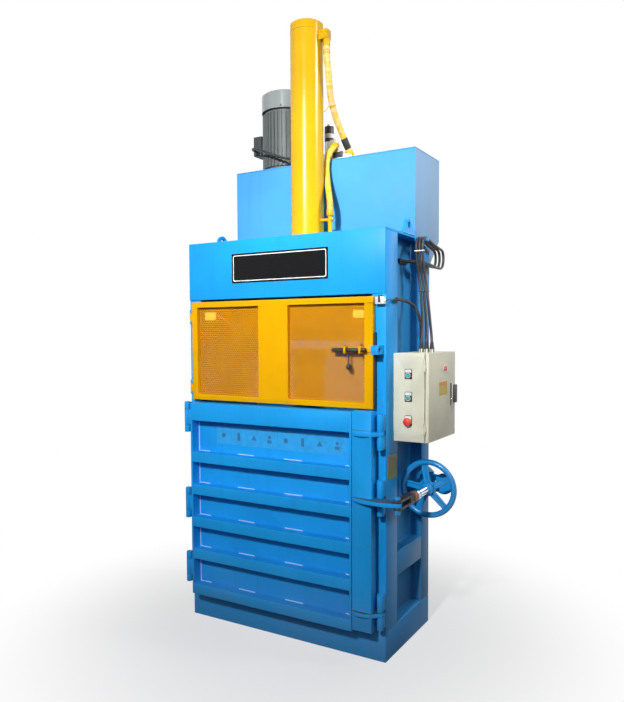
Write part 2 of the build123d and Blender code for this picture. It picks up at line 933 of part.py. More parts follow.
def lock():
    """Fork on the lever, its thrust collar, the spindle with its wheel and the bracket behind them."""
    gap = clamp_lug / 2 + barrel_gap
    half = gap + fork_arm
    fork_end = lever_y + fork_length
    with BuildPart() as fork:
        with BuildSketch(Plane.XY.offset(lever_z - half)):
            with Locations((lever_x, lever_y)):
                Circle(fork_width / 2)
            with Locations((lever_x, lever_y + fork_length / 2)):
                Rectangle(fork_width, fork_length)
        extrude(amount=2 * half)
        slab(
            (lever_x - fork_width, lever_x + fork_width),
            (lever_y - fork_width, lever_y + fork_slot),
            (lever_z - gap, lever_z + gap),
            mode=Mode.SUBTRACT,
        )
        bolt_bore = bolt_radius + pin_clearance
        upright(bolt_bore, lever_x, lever_y, (lever_z - half, lever_z + half), mode=Mode.SUBTRACT)
        pocket = (fork_end - journal_head - 2 * journal_gap, fork_end)
        fore_and_aft(journal_head_radius + journal_gap, lever_x, pocket, lever_z, mode=Mode.SUBTRACT)
    keep(fork, "lock_fork")

    with BuildPart() as collar:
        with BuildSketch(Plane.XZ.offset(-fork_end)):
            with Locations((lever_x, lever_z)):
                Circle(collar_radius)
                Circle(spindle_radius + pin_clearance, mode=Mode.SUBTRACT)
        extrude(amount=-collar_length)
        chamfer(collar.edges().filter_by(GeomType.CIRCLE).group_by(SortBy.RADIUS)[-1], collar_chamfer)
    keep(collar, "thrust_collar")

    journal_front = fork_end - journal_head - journal_gap
    sleeve_front = fork_end + collar_length + journal_gap
    hub_front = fork_end + collar_length + sleeve_length
    with BuildPart() as spindle:
        fore_and_aft(spindle_radius, lever_x, (journal_front, lever_y + spindle_length), lever_z)
        fore_and_aft(journal_head_radius, lever_x, (journal_front, fork_end - journal_gap), lever_z)
        fore_and_aft(sleeve_radius, lever_x, (sleeve_front, hub_front), lever_z)
    keep(spindle, "lock_spindle")

    with BuildPart() as wheel:
        rim_centre = wheel_radius - wheel_rim_radius
        mid = hub_front + wheel_hub_length / 2
        wheel_plane = Plane((lever_x, mid, lever_z), x_dir=(1, 0, 0), z_dir=(0, 1, 0))
        with BuildSketch(Plane((lever_x, mid, lever_z), x_dir=(1, 0, 0), z_dir=(0, 0, 1))):
            with Locations((rim_centre, 0)):
                Circle(wheel_rim_radius)
        revolve(axis=Axis((lever_x, mid, lever_z), (0, 1, 0)))
        with BuildSketch(wheel_plane.offset(-wheel_hub_length / 2)):
            Circle(wheel_hub_radius)
        extrude(amount=wheel_hub_length, taper=wheel_hub_taper)
        for index in range(wheel_spokes):
            turn = wheel_first_spoke + index * 360 / wheel_spokes
            flat_and_rib = ((spoke_width, spoke_thickness), (spoke_rib, spoke_thickness + 2 * spoke_rib))
            for width, depth in flat_and_rib:
                with BuildSketch(wheel_plane.offset(-depth / 2)):
                    with Locations(Rotation(0, 0, -turn)):
                        with Locations(((spoke_start + rim_centre) / 2, 0)):
                            Rectangle(rim_centre - spoke_start, width)
                extrude(amount=depth)
        bore = (mid - wheel_hub_length, mid + wheel_hub_length)
        fore_and_aft(spindle_radius + pin_clearance, lever_x, bore, lever_z, mode=Mode.SUBTRACT)
    keep(wheel, "handwheel")

    low, high = lever_z - bearing_half_height, lever_z + bearing_half_height
    with BuildPart() as bracket:
        with BuildSketch(Plane.XZ.offset(-bearing_place)):
            with BuildLine():
                root = Line((half_width, low), (half_width, high))
                upper = Line(root @ 1, (lever_x, lever_z + bearing_nose))
                nose = ThreePointArc(
                    upper @ 1,
                    (half_width + bearing_reach, lever_z),
                    (lever_x, lever_z - bearing_nose),
                )
                Line(nose @ 1, root @ 0)
            make_face()
            with Locations((lever_x + (lever_sweep_high + lever_sweep_low) / 2, lever_z)):
                slot_width = 2 * (spindle_radius + bearing_slot_gap)
                SlotCenterToCenter(lever_sweep_high - lever_sweep_low, slot_width, mode=Mode.SUBTRACT)
        extrude(amount=-bearing_plate)
        slab((half_width, half_width + bearing_foot), (bearing_place, back - bearing_foot), (low, high))
        for bottom in (low, high - bearing_foot):
            with BuildSketch(Plane.XY.offset(bottom)):
                with BuildLine():
                    Polyline(
                        (half_width, bearing_place),
                        (lever_x - 2 * spindle_radius, bearing_place),
                        (lever_x - 2 * spindle_radius, bearing_place + bearing_plate),
                        (half_width + bearing_foot, back - bearing_foot),
                        (half_width, back - bearing_foot),
                        close=True,
                    )
                make_face()
            extrude(amount=bearing_foot)
    keep(bracket, "spindle_bracket")


def hinge_pins(name, radius, head, x, y, limits):
    """Headed hinge pins, one for each pair of heights."""
    with BuildPart() as pins:
        for low, high in limits:
            upright(radius, x, y, (low, high))
            upright(head, x, y, (high, high + pin_head_height))
    keep(pins, name)


def feed_door():
    """Feed door frame with hinge leaves, bolt guides and switch key, and its two screens."""
    screen_front = feed_front + screen_set_back
    windows = (
        (feed_left + feed_left_stile, mullion_left),
        (mullion_right, feed_right - feed_right_stile),
    )
    low, high = feed_bottom + feed_rail, feed_top - feed_rail
    with BuildPart() as frame:
        slab((feed_left, feed_right), (feed_front, feed_back), (feed_bottom, feed_top))
        for left, right in windows:
            slab((left, right), (feed_front, feed_back), (low, high), mode=Mode.SUBTRACT)
            slab(
                (left - screen_border, right + screen_border),
                (screen_front, feed_back),
                (low - screen_border, high + screen_border),
                mode=Mode.SUBTRACT,
            )
        for middle in feed_hinge_heights:
            limits = hinge_limits(middle, feed_hinge_length, feed_hinge_middle)[1]
            leaf = (feed_pin_y - feed_hinge_leaf / 2, feed_pin_y + feed_hinge_leaf / 2)
            slab((feed_pin_x, feed_left), leaf, limits)
            upright(feed_barrel_radius, feed_pin_x, feed_pin_y, limits)
            upright(feed_pin_radius + pin_clearance, feed_pin_x, feed_pin_y, limits, mode=Mode.SUBTRACT)
        strip_front = feed_front - bolt_strip
        strip = (bolt_height - bolt_strip_height / 2, bolt_height + bolt_strip_height / 2)
        slab((bolt_strip_left, feed_right - bolt_strip), (strip_front, feed_front), strip)
        for place in bolt_guide_places:
            guide = (place - bolt_guide_width / 2, place + bolt_guide_width / 2)
            eye = (bolt_height - bolt_guide_half, bolt_height + bolt_guide_half)
            slab(guide, (bolt_y - bolt_guide_half, strip_front), eye)
            crosswise(bolt_rod_radius + bolt_clearance, guide, bolt_y, bolt_height, mode=Mode.SUBTRACT)
        key_middle = switch_bottom + switch_height / 2
        slab(
            (switch_key_end - switch_key_width, switch_key_end),
            (feed_front - switch_key_thickness, feed_front),
            (key_middle - switch_key_height / 2, key_middle + switch_key_height / 2),
        )
    keep(frame, "feed_door_frame")

    reach = screen_border - screen_gap
    rows = int((high - low - 2 * screen_border) / screen_slot_pitch)
    for (left, right), name in zip(windows, ("feed_screen_left", "feed_screen_right")):
        column = (right - left - screen_bridge) / screen_slot_columns
        with BuildPart() as screen:
            slab(
                (left - reach, right + reach),
                (screen_front, screen_front + screen_sheet),
                (low - reach, high + reach),
            )
            with BuildSketch(Plane.XZ.offset(-screen_front)):
                with Locations(((left + right) / 2, (low + high) / 2)):
                    with GridLocations(column, screen_slot_pitch, screen_slot_columns, rows):
                        Rectangle(column - screen_bridge, screen_slot)
            extrude(amount=-screen_sheet, mode=Mode.SUBTRACT)
        keep(screen, name)


def slide_bolt():
    """Round bolt in its guides, with the drop handle and its ball knob."""
    with BuildPart() as bolt:
        crosswise(bolt_rod_radius, (bolt_left, bolt_tip), bolt_y, bolt_height)
        chamfer(bolt.edges().filter_by(GeomType.CIRCLE), bolt_chamfer)
        upright(bolt_handle_radius, bolt_handle_place, bolt_y, (bolt_height - bolt_handle_drop, bolt_height))
        with Locations((bolt_handle_place, bolt_y, bolt_height - bolt_handle_drop)):
            Sphere(bolt_knob_radius)
    keep(bolt, "slide_bolt")


def door_switch():
    """Switch housing on the right post, with its cable gland."""
    top = switch_bottom + switch_height
    middle = switch_bottom + switch_height / 2
    end = switch_left + switch_width
    with BuildPart() as switch:
        slab((switch_left, end), (front - switch_depth, front), (switch_bottom, top))
        fillet(switch.edges().filter_by(Axis.Y), switch_round)
        crosswise(switch_gland_radius, (end, end + switch_gland), front - switch_depth / 2, middle)
    keep(switch, "door_switch")


def press_cylinder():
    """Cylinder barrel with flange, ports and pipe clip, its gland, and the piston on its rod."""
    flange_low = crosshead_bottom + crosshead_plate
    flange_high = flange_low + cylinder_flange
    with BuildPart() as barrel:
        with BuildSketch(Plane.XZ):
            with BuildLine():
                Polyline(
                    (bore_radius, cylinder_bottom),
                    (cylinder_radius, cylinder_bottom),
                    (cylinder_radius, flange_low),
                    (cylinder_flange_radius, flange_low),
                    (cylinder_flange_radius, flange_high),
                    (cylinder_radius, flange_high),
                    (cylinder_radius, cylinder_top - cylinder_edge),
                    (cylinder_radius - cylinder_edge, cylinder_top),
                    (0, cylinder_top),
                    (0, cylinder_top - cylinder_cap),
                    (bore_radius, cylinder_top - cylinder_cap),
                    close=True,
                )
            make_face()
        revolve(axis=Axis.Z)
        port_x = upper_hose_points[0][0]
        port_z = piston_top + port_radius
        upper_port = (bore_radius - port_radius, port_x + port_radius)
        lower_port = (bore_radius - port_radius, lower_port_end)
        crosswise(port_radius, upper_port, 0, port_z, mode=Mode.SUBTRACT)
        crosswise(port_radius, lower_port, 0, lower_port_height, mode=Mode.SUBTRACT)
    keep(barrel, "cylinder_barrel")

    with BuildPart() as ports:
        slab(
            (bore_radius, port_block_end),
            (-port_block_width / 2, port_block_width / 2),
            (port_block_bottom, port_block_bottom + port_block_height),
        )
        crosswise(lower_port_boss, (bore_radius, lower_port_end), 0, lower_port_height)
        clip_z = (pipe_clip_bottom, pipe_clip_bottom + pipe_clip_height)
        clip_x = (bore_radius, pipe_x + pipe_radius + pipe_clip_height / 2)
        slab(clip_x, (-pipe_clip_half, pipe_clip_half), clip_z)
        upright(cylinder_radius, 0, 0, (cylinder_bottom, cylinder_top), mode=Mode.SUBTRACT)
        upright(cylinder_flange_radius, 0, 0, (flange_low, flange_high), mode=Mode.SUBTRACT)
        upright(pipe_radius + cylinder_hole_gap, pipe_x, 0, clip_z, mode=Mode.SUBTRACT)
        crosswise(port_radius, upper_port, 0, port_z, mode=Mode.SUBTRACT)
        upright(port_radius, port_x, 0, (port_block_bottom, port_z), mode=Mode.SUBTRACT)
        crosswise(port_radius, lower_port, 0, lower_port_height, mode=Mode.SUBTRACT)
    keep(ports, "cylinder_ports")

    with BuildPart() as gland:
        with BuildSketch(Plane.XY.offset(cylinder_bottom)):
            Circle(bore_radius - pin_clearance)
            Circle(rod_radius + sliding_gap, mode=Mode.SUBTRACT)
        extrude(amount=gland_length)
    keep(gland, "rod_gland")

    rod_foot = platen_bottom + platen_plate
    with BuildPart() as rod:
        upright(rod_radius, 0, 0, (rod_foot, piston_top))
        upright(bore_radius - sliding_gap, 0, 0, (piston_top - piston_length, piston_top))
        upright(rod_flange_radius, 0, 0, (rod_foot, rod_foot + rod_flange))
    keep(rod, "piston_rod")


def platen():
    """Press plate: a thick sole with upright webs around and across it."""
    left, right = -chamber_half + platen_gap, chamber_half - platen_gap
    y_front = front + platen_gap
    y_back = back - rear_recess - wall_sheet - platen_gap
    web_z = (platen_bottom + platen_plate, platen_bottom + platen_height)
    with BuildPart() as press:
        slab((left, right), (y_front, y_back), (platen_bottom, web_z[0]))
        for x in (left, right - platen_web):
            slab((x, x + platen_web), (y_front, y_back), web_z)
        for y in (y_front, -platen_web_places[0], platen_web_places[0] - platen_web, y_back - platen_web):
            slab((left, right), (y, y + platen_web), web_z)
        for place in platen_web_places:
            slab((-place, -place + platen_web), (y_front, y_back), web_z)
            slab((place - platen_web, place), (y_front, y_back), web_z)
    keep(press, "platen")


def oil_tank():
    """Tank shell that stands on the header and hangs down behind it, and its lid."""
    with BuildPart() as shell:
        with BuildSketch(Plane.YZ.offset(-tank_half_width)):
            with BuildLine():
                Polyline(
                    (tank_front, frame_height),
                    (tank_front, lid_bottom),
                    (tank_rear, lid_bottom),
                    (tank_rear, tank_rear_bottom),
                    (back, tank_heel),
                    (back, frame_height),
                    close=True,
                )
            make_face()
        extrude(amount=2 * tank_half_width)
        with BuildSketch(Plane.YZ.offset(-tank_half_width + tank_wall)):
            with BuildLine():
                Polyline(
                    (tank_front + tank_wall, frame_height + tank_wall),
                    (tank_front + tank_wall, lid_bottom),
                    (tank_rear - tank_wall, lid_bottom),
                    (tank_rear - tank_wall, tank_rear_bottom + tank_wall / 2),
                    (back + tank_wall, tank_heel + tank_slope_floor),
                    (back + tank_wall, frame_height + tank_wall),
                    close=True,
                )
            make_face()
        extrude(amount=2 * (tank_half_width - tank_wall), mode=Mode.SUBTRACT)
    keep(shell, "tank_shell")

    with BuildPart() as lid:
        slab((-tank_half_width, tank_half_width), (tank_front, tank_rear), (lid_bottom, tank_top))
        upright(shaft_radius + rotor_gap, motor_x, motor_y, (lid_bottom, tank_top), mode=Mode.SUBTRACT)
    keep(lid, "tank_lid")


def motor():
    """Finned motor housing, fan cowl, terminal box, rotor with fan, and the pump under the lid."""
    body_bottom = tank_top + motor_foot
    body_top = body_bottom + motor_body_height
    bore = (body_bottom + motor_bell, body_top - motor_bell)
    fin_radius = motor_radius + motor_fin
    neck_left = terminal_left + terminal_width
    terminal_mid = terminal_bottom + terminal_height / 2
    with BuildPart() as housing:
        upright(motor_foot_radius, motor_x, motor_y, (tank_top, body_bottom))
        upright(motor_radius, motor_x, motor_y, (body_bottom, body_top))
        with BuildSketch(Plane.XY.offset(body_bottom)):
            with Locations((motor_x, motor_y)):
                with PolarLocations(motor_radius, motor_fin_count):
                    Rectangle(2 * motor_fin, motor_fin_width)
        extrude(amount=motor_body_height - motor_disc)
        upright(fin_radius, motor_x, motor_y, (body_top, body_top + motor_disc))
        slab(
            (neck_left, motor_x - motor_radius + motor_fin),
            (motor_y - terminal_neck, motor_y + terminal_neck),
            (terminal_mid - terminal_neck, terminal_mid + terminal_neck),
        )
        upright(motor_bore, motor_x, motor_y, bore, mode=Mode.SUBTRACT)
        shaft_hole = (tank_top, body_top + motor_disc)
        upright(shaft_radius + sliding_gap, motor_x, motor_y, shaft_hole, mode=Mode.SUBTRACT)
    keep(housing, "motor_housing")

    with BuildPart() as cowl:
        with BuildSketch(Plane.XZ):
            with BuildLine():
                Polyline(
                    (cowl_radius - cowl_wall, cowl_bottom),
                    (cowl_radius, cowl_bottom),
                    (cowl_radius, cowl_top - cowl_edge),
                    (cowl_radius - cowl_edge, cowl_top),
                    (0, cowl_top),
                    (0, cowl_top - cowl_wall),
                    (cowl_radius - cowl_edge, cowl_top - cowl_wall),
                    (cowl_radius - cowl_wall, cowl_top - cowl_edge),
                    close=True,
                )
            make_face()
        revolve(axis=Axis.Z)
        with BuildSketch(Plane.XY.offset(cowl_top - cowl_wall)):
            with PolarLocations(cowl_hole, fan_blades):
                SlotCenterToCenter(cowl_hole, cowl_edge)
        extrude(amount=cowl_wall, mode=Mode.SUBTRACT)
    cowl.part.locate(Location((motor_x, motor_y, 0)))
    keep(cowl, "motor_cowl")

    with BuildPart() as box:
        box_x = (terminal_left, neck_left)
        slab(
            box_x,
            (motor_y - terminal_depth / 2, motor_y + terminal_depth / 2),
            (terminal_bottom, terminal_bottom + terminal_height),
        )
        fillet(box.edges().filter_by(Axis.X), terminal_round)
        gland_end = tank_front + motor_cable_route[0][1]
        gland_z = tank_top + motor_cable_route[0][2]
        box_front_face = motor_y - terminal_depth / 2
        fore_and_aft(motor_gland_radius, motor_cable_route[0][0], (gland_end, box_front_face), gland_z)
        lid_groove = terminal_left + terminal_lid
        with BuildSketch(Plane.YZ.offset(lid_groove)):
            with Locations((motor_y, terminal_mid)):
                RectangleRounded(2 * terminal_depth, 2 * terminal_height, terminal_round)
                inner_depth = terminal_depth - terminal_groove
                inner_height = terminal_height - terminal_groove
                RectangleRounded(inner_depth, inner_height, terminal_round, mode=Mode.SUBTRACT)
        extrude(amount=terminal_groove, mode=Mode.SUBTRACT)
    keep(box, "motor_terminal_box")

    with BuildPart() as rotor:
        fan_top = fan_bottom + fan_height
        upright(shaft_radius, motor_x, motor_y, (lid_bottom - shaft_in_pump, fan_top))
        upright(rotor_radius, motor_x, motor_y, (bore[0] + rotor_gap, bore[1] - rotor_gap))
        upright(fan_hub_radius, motor_x, motor_y, (fan_bottom, fan_top))
        with BuildSketch(Plane.XY.offset(fan_bottom)):
            with Locations((motor_x, motor_y)):
                with PolarLocations((fan_radius + fan_hub_radius) / 2, fan_blades):
                    Rectangle(fan_radius - fan_hub_radius + fan_blade, fan_blade)
        extrude(amount=fan_height)
    keep(rotor, "motor_rotor")

    with BuildPart() as pump:
        upright(pump_flange_radius, motor_x, motor_y, (lid_bottom - pump_flange, lid_bottom))
        upright(pump_radius, motor_x, motor_y, (lid_bottom - pump_length, lid_bottom))
        well = lid_bottom - shaft_in_pump - sliding_gap
        upright(shaft_radius + sliding_gap, motor_x, motor_y, (well, lid_bottom), mode=Mode.SUBTRACT)
    keep(pump, "hydraulic_pump")


def valve_stack():
    """Manifold on the tank lid with its valve block, one upright coil and one side coil."""
    manifold_top = tank_top + manifold_height
    valve_top = manifold_top + valve_height
    y_front = valve_y - valve_depth / 2
    y_back = valve_y + valve_depth / 2
    with BuildPart() as stack:
        slab((manifold_left, manifold_right), (y_front, y_back), (tank_top, manifold_top))
        slab((valve_left, valve_right), (y_front, y_back), (manifold_top, valve_top))
        upright(coil_radius, coil_x, valve_y, (manifold_top, coil_top - coil_nut))
        upright(coil_nut_radius, coil_x, valve_y, (coil_top - coil_nut, coil_top))
        side_coil = (y_back, y_back + side_coil_length)
        side_coil_x = (valve_left + valve_right) / 2
        fore_and_aft(side_coil_radius, side_coil_x, side_coil, valve_top - side_coil_radius)
        slab(
            (valve_right, upper_hose_points[-1][0] + fitting_radius),
            (y_front, y_back),
            (tank_top, manifold_top - manifold_step),
        )
    keep(stack, "valve_stack")


def hose_path(points):
    """Route of one hose, with arcs as large as its runs allow; prints the tightest."""
    places = [Vector(*point) for point in points]
    radii = []
    for before, corner, after in zip(places, places[1:], places[2:]):
        turn = (corner - before).get_angle(after - corner)
        shorter = min((corner - before).length, (after - corner).length)
        radii.append(bend_share * shorter / tan(radians(turn / 2)))
    print("radii", [round(radius) for radius in radii])
    return FilletPolyline(*points, radius=radii)


def hose(points, radius, name):
    """One hose, cable or conduit as a plain round tube along its route."""
    with BuildPart() as tube:
        with BuildLine():
            path = hose_path(points)
        with BuildSketch(Plane(origin=path @ 0, z_dir=path % 0)):
            Circle(radius)
        sweep()
    keep(tube, name)
    print(name, tube.part.volume / (pi * radius**2 * path.length))


def control_cables():
    """Three cables from the box over the hook, round their loop and into the slot of the side wall."""
    entry_z = (side_slot_bottom, side_slot_bottom + side_slot_height)
    sheet_outer = chamber_half + wall_sheet
    with BuildPart() as cables:
        for points in control_cable_points:
            with BuildLine():
                path = hose_path(points)
            with BuildSketch(Plane(origin=path @ 0, z_dir=path % 0)):
                Circle(cable_radius)
            sweep()
        slab((chamber_half, sheet_outer), cable_entry_limits, entry_z)
        lip_y = (cable_entry_limits[0] - cable_entry_lip, cable_entry_limits[1] + cable_entry_lip)
        lip_z = (entry_z[0] - cable_entry_lip, entry_z[1] + cable_entry_lip)
        slab((sheet_outer, sheet_outer + cable_entry_reach), lip_y, lip_z)
    keep(cables, "control_cables")


def hose_fittings():
    """Crimped ends of both hoses, as one group."""
    with BuildPart() as fittings:
        for points in (upper_hose_points, lower_hose_points):
            for end, before in ((points[0], points[1]), (points[-1], points[-2])):
                outwards = (Vector(*end) - Vector(*before)).normalized()
                with BuildSketch(Plane(origin=end, z_dir=outwards)):
                    Circle(fitting_radius)
                extrude(amount=fitting_length)
    keep(fittings, "hose_fittings")


def pressure_pipe():
    """Steel pipe from the lower hose down to the cylinder's lower port."""
    with BuildPart() as pipe:
        with BuildLine():
            path = FilletPolyline(
                (pipe_x, 0, pipe_top),
                (pipe_x, 0, lower_port_height),
                (lower_port_end, 0, lower_port_height),
                radius=pipe_bend,
            )
        with BuildSketch(Plane(origin=path @ 0, z_dir=path % 0)):
            Circle(pipe_radius)
        sweep()
    keep(pipe, "pressure_pipe")


def control_box():
    """Box shell with lipped mouth and its push-button housings, contactor plate and hinge pins."""
    inner_y = (box_front + box_wall, box_back - box_wall)
    inner_z = (box_bottom + box_wall, box_top - box_wall)
    holes = (*button_heights, stop_height)
    with BuildPart() as shell:
        slab((half_width, box_right), (box_front, box_back), (box_bottom, box_top))
        slab((half_width + box_wall, box_right - box_wall), inner_y, inner_z, mode=Mode.SUBTRACT)
        slab(
            (box_right - box_wall, box_right),
            (box_front + box_lip, box_back - box_lip),
            (box_bottom + box_lip, box_top - box_lip),
            mode=Mode.SUBTRACT,
        )
        for route in (*control_cable_routes, conduit_route):
            gland = (half_width + route[0][0], route[0][1])
            upright(cable_gland_radius, *gland, (box_top, box_top + cable_gland))
        for height in holes:
            wall = (box_front, inner_y[0])
            fore_and_aft(bezel_sleeve + button_gap, button_x, wall, height, mode=Mode.SUBTRACT)
        for middle in box_hinge_heights:
            for limits in hinge_limits(middle, box_hinge_length, box_hinge_middle)[::2]:
                slab((box_pin_x - box_leaf, box_pin_x), (box_pin_y, box_front), limits)
                upright(box_barrel_radius, box_pin_x, box_pin_y, limits)
                upright(box_pin_radius, box_pin_x, box_pin_y, limits, mode=Mode.SUBTRACT)
    keep(shell, "control_box_shell")

    with BuildPart() as housings:
        for height in holes:
            fore_and_aft(bezel_radius, button_x, (box_front - bezel_height, box_front), height)
            fore_and_aft(bezel_sleeve, button_x, (box_front, inner_y[0]), height)
            half = contact_block_width / 2
            slab(
                (button_x - half, button_x + half),
                (inner_y[0], inner_y[0] + contact_block),
                (height - half, height + half),
            )
            well = (box_front - bezel_height, box_front + button_well)
            fore_and_aft(button_radius + button_gap, button_x, well, height, mode=Mode.SUBTRACT)
    keep(housings, "button_housings")

    for height, name in zip(button_heights, ("upper_button", "lower_button")):
        with BuildPart() as button:
            cap = (box_front - bezel_height - button_proud, box_front + button_depth)
            fore_and_aft(button_radius, button_x, cap, height)
            chamfer(button.edges().filter_by(GeomType.CIRCLE).sort_by(Axis.Y)[0], button_edge)
        keep(button, name)

    with BuildPart() as stop:
        neck_front = box_front - stop_neck
        fore_and_aft(button_radius, button_x, (neck_front, box_front + button_depth), stop_height)
        fore_and_aft(stop_radius, button_x, (neck_front - stop_cap, neck_front), stop_height)
        fillet(stop.edges().filter_by(GeomType.CIRCLE).sort_by(Axis.Y)[0], stop_cap / 2)
    keep(stop, "emergency_stop")

    plate_left = half_width + box_wall + plate_stand_off
    plate_y = (inner_y[0] + plate_inset, inner_y[1] - plate_inset)
    plate_z = (inner_z[0] + plate_inset, inner_z[1] - plate_inset)
    with BuildPart() as plate:
        slab((plate_left, plate_left + plate_thickness), plate_y, plate_z)
        for y in (plate_y[0] + plate_inset, plate_y[1] - plate_inset):
            for z in (plate_z[0] + plate_inset, plate_z[1] - plate_inset):
                crosswise(stand_off_radius, (half_width + box_wall, plate_left), y, z)
        pitch = (plate_y[1] - plate_y[0]) / contactor_count
        for index in range(contactor_count):
            y = plate_y[0] + (index + 0.5) * pitch
            top = plate_z[1] - plate_inset
            slab(
                (plate_left + plate_thickness, plate_left + plate_thickness + contactor_depth),
                (y - contactor_width / 2, y + contactor_width / 2),
                (top - contactor_height, top),
            )
    keep(plate, "contactor_plate")


def control_box_door():
    """Folded door pan with its lock plate, the seal, the lamp and the handle."""
    pivot_hole = handle_pivot_radius + pin_clearance
    with BuildPart() as door:
        slab((door_inner, door_outer), (box_front, box_back), (box_bottom, box_top))
        slab(
            (door_inner, door_outer - box_door_wall),
            (box_front + box_door_wall, box_back - box_door_wall),
            (box_bottom + box_door_wall, box_top - box_door_wall),
            mode=Mode.SUBTRACT,
        )
        slab(
            (door_outer, door_outer + handle_plate),
            (handle_y - handle_width / 2, handle_y + handle_width / 2),
            (handle_bottom, handle_bottom + handle_height),
        )
        pivot = (door_outer - box_door_wall, door_outer + handle_plate)
        crosswise(pivot_hole, pivot, handle_y, handle_pivot_height, mode=Mode.SUBTRACT)
        for middle in box_hinge_heights:
            limits = hinge_limits(middle, box_hinge_length, box_hinge_middle)[1]
            slab((box_pin_x, box_pin_x + box_leaf), (box_pin_y, box_front), limits)
            upright(box_barrel_radius, box_pin_x, box_pin_y, limits)
            upright(box_pin_radius + pin_clearance, box_pin_x, box_pin_y, limits, mode=Mode.SUBTRACT)
    keep(door, "control_box_door")

    with BuildPart() as seal:
        inset = box_door_wall + box_seal_inset
        seal_x = (box_right + box_seal_clearance, door_outer - box_door_wall)
        slab(seal_x, (box_front + inset, box_back - inset), (box_bottom + inset, box_top - inset))
        inset += box_seal
        slab(
            seal_x,
            (box_front + inset, box_back - inset),
            (box_bottom + inset, box_top - inset),
            mode=Mode.SUBTRACT,
        )
    keep(seal, "box_door_seal")

    with BuildPart() as lamp:
        crosswise(lamp_ring, (door_outer, door_outer + lamp_ring_height), lamp_y, lamp_height)
        lens = (door_outer, door_outer + lamp_ring_height + lamp_radius)
        crosswise(lamp_radius, lens, lamp_y, lamp_height)
        fillet(lamp.edges().filter_by(GeomType.CIRCLE).sort_by(Axis.X)[-1], lamp_dome)
    keep(lamp, "door_lamp")

    with BuildPart() as handle:
        lever_left = door_outer + handle_plate + handle_gap
        lever = (lever_left, lever_left + handle_lever_thickness)
        crosswise(handle_pivot_radius, (door_outer - box_door_wall, lever[1]), handle_y, handle_pivot_height)
        top = handle_pivot_height + handle_lever_width / 2
        slab(
            lever,
            (handle_y - handle_lever_width / 2, handle_y + handle_lever_width / 2),
            (top - handle_lever_length, top),
        )
        fillet(handle.edges().filter_by(Axis.X).group_by(Axis.Z)[0], handle_round)
    keep(handle, "box_door_handle")


def full_limits(middles, length):
    """Lowest and highest point of each hinge of that length."""
    return [(middle - length / 2, middle + length / 2) for middle in middles]


base_frame()
left_barrels = [
    limits for middle in hinge_heights for limits in hinge_limits(middle, hinge_length, hinge_middle)[::2]
]
right_barrels = [limits for middle in clamp_lug_heights for limits in clamp_limits(middle)]
front_post(-1, "front_post_left", left_barrels)
front_post(1, "front_post_right", right_barrels)
rear_post(-1, "rear_post_left")
rear_post(1, "rear_post_right")
side_wall(-1, "side_wall_left")
side_wall(1, "side_wall_right")
rear_wall()
header()
bale_door()
hinge_pins(
    "bale_door_hinge_pins",
    pin_radius,
    pin_head_radius,
    -pin_x,
    pin_y,
    full_limits(hinge_heights, hinge_length),
)
clamp()
clamp_pin_limits = [(clamp_limits(middle)[0][0], clamp_limits(middle)[1][1]) for middle in clamp_lug_heights]
hinge_pins("clamp_pins", pin_radius, pin_head_radius, pin_x, pin_y, clamp_pin_limits)
lock()
feed_door()
hinge_pins(
    "feed_door_hinge_pins",
    feed_pin_radius,
    feed_barrel_radius,
    feed_pin_x,
    feed_pin_y,
    full_limits(feed_hinge_heights, feed_hinge_length),
)
slide_bolt()
door_switch()
press_cylinder()
platen()
oil_tank()
motor()
valve_stack()
hose(upper_hose_points, hose_radius, "upper_hose")
hose(lower_hose_points, hose_radius, "lower_hose")
hose(motor_cable_points, cable_radius, "motor_cable")
hose(conduit_points, conduit_radius, "switch_conduit")
hose(switch_cable_points, switch_cable_radius, "switch_cable")
control_cables()
hose_fittings()
pressure_pipe()
control_box()
control_box_door()
hinge_pins(
    "box_door_hinge_pins",
    box_pin_radius,
    box_barrel_radius,
    box_pin_x,
    box_pin_y,
    full_limits(box_hinge_heights, box_hinge_length),
)
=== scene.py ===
"""Looks of an upright hydraulic baler: paint, screens, handwheel, cables, small parts and a plain studio."""

import json
import math

import bmesh
import bpy
from bpy.props import FloatProperty, FloatVectorProperty, IntProperty, PointerProperty
from mathutils import Matrix, Vector


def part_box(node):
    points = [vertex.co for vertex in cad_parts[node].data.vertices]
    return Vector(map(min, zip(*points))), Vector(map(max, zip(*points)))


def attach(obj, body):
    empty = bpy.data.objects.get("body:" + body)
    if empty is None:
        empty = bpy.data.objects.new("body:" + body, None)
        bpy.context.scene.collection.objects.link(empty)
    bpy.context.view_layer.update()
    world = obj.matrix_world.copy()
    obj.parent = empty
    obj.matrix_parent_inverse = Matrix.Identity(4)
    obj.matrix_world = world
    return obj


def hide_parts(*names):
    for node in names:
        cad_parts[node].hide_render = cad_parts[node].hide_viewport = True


bl_info = {
    "name": "Baler Looks",
    "version": (1, 0, 0),
    "blender": (4, 5, 0),
    "location": "View3D > Sidebar > Baler",
    "description": "Dresses an upright hydraulic baler with paint, screens, cables and small parts",
    "category": "Object",
}

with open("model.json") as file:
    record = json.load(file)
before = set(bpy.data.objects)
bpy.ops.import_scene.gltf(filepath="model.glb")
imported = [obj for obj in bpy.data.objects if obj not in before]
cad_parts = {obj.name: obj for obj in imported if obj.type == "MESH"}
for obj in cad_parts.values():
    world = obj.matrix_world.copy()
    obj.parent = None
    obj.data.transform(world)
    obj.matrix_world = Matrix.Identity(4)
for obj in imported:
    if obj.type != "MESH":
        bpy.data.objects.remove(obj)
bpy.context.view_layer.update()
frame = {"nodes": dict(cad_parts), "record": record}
nodes = frame["nodes"]
body_of = {node: body for body, members in frame["record"]["behaviour"]["bodies"].items() for node in members}

FULL_TURN = 2 * math.pi

# Directions, with Z up and the doors facing the negative Y

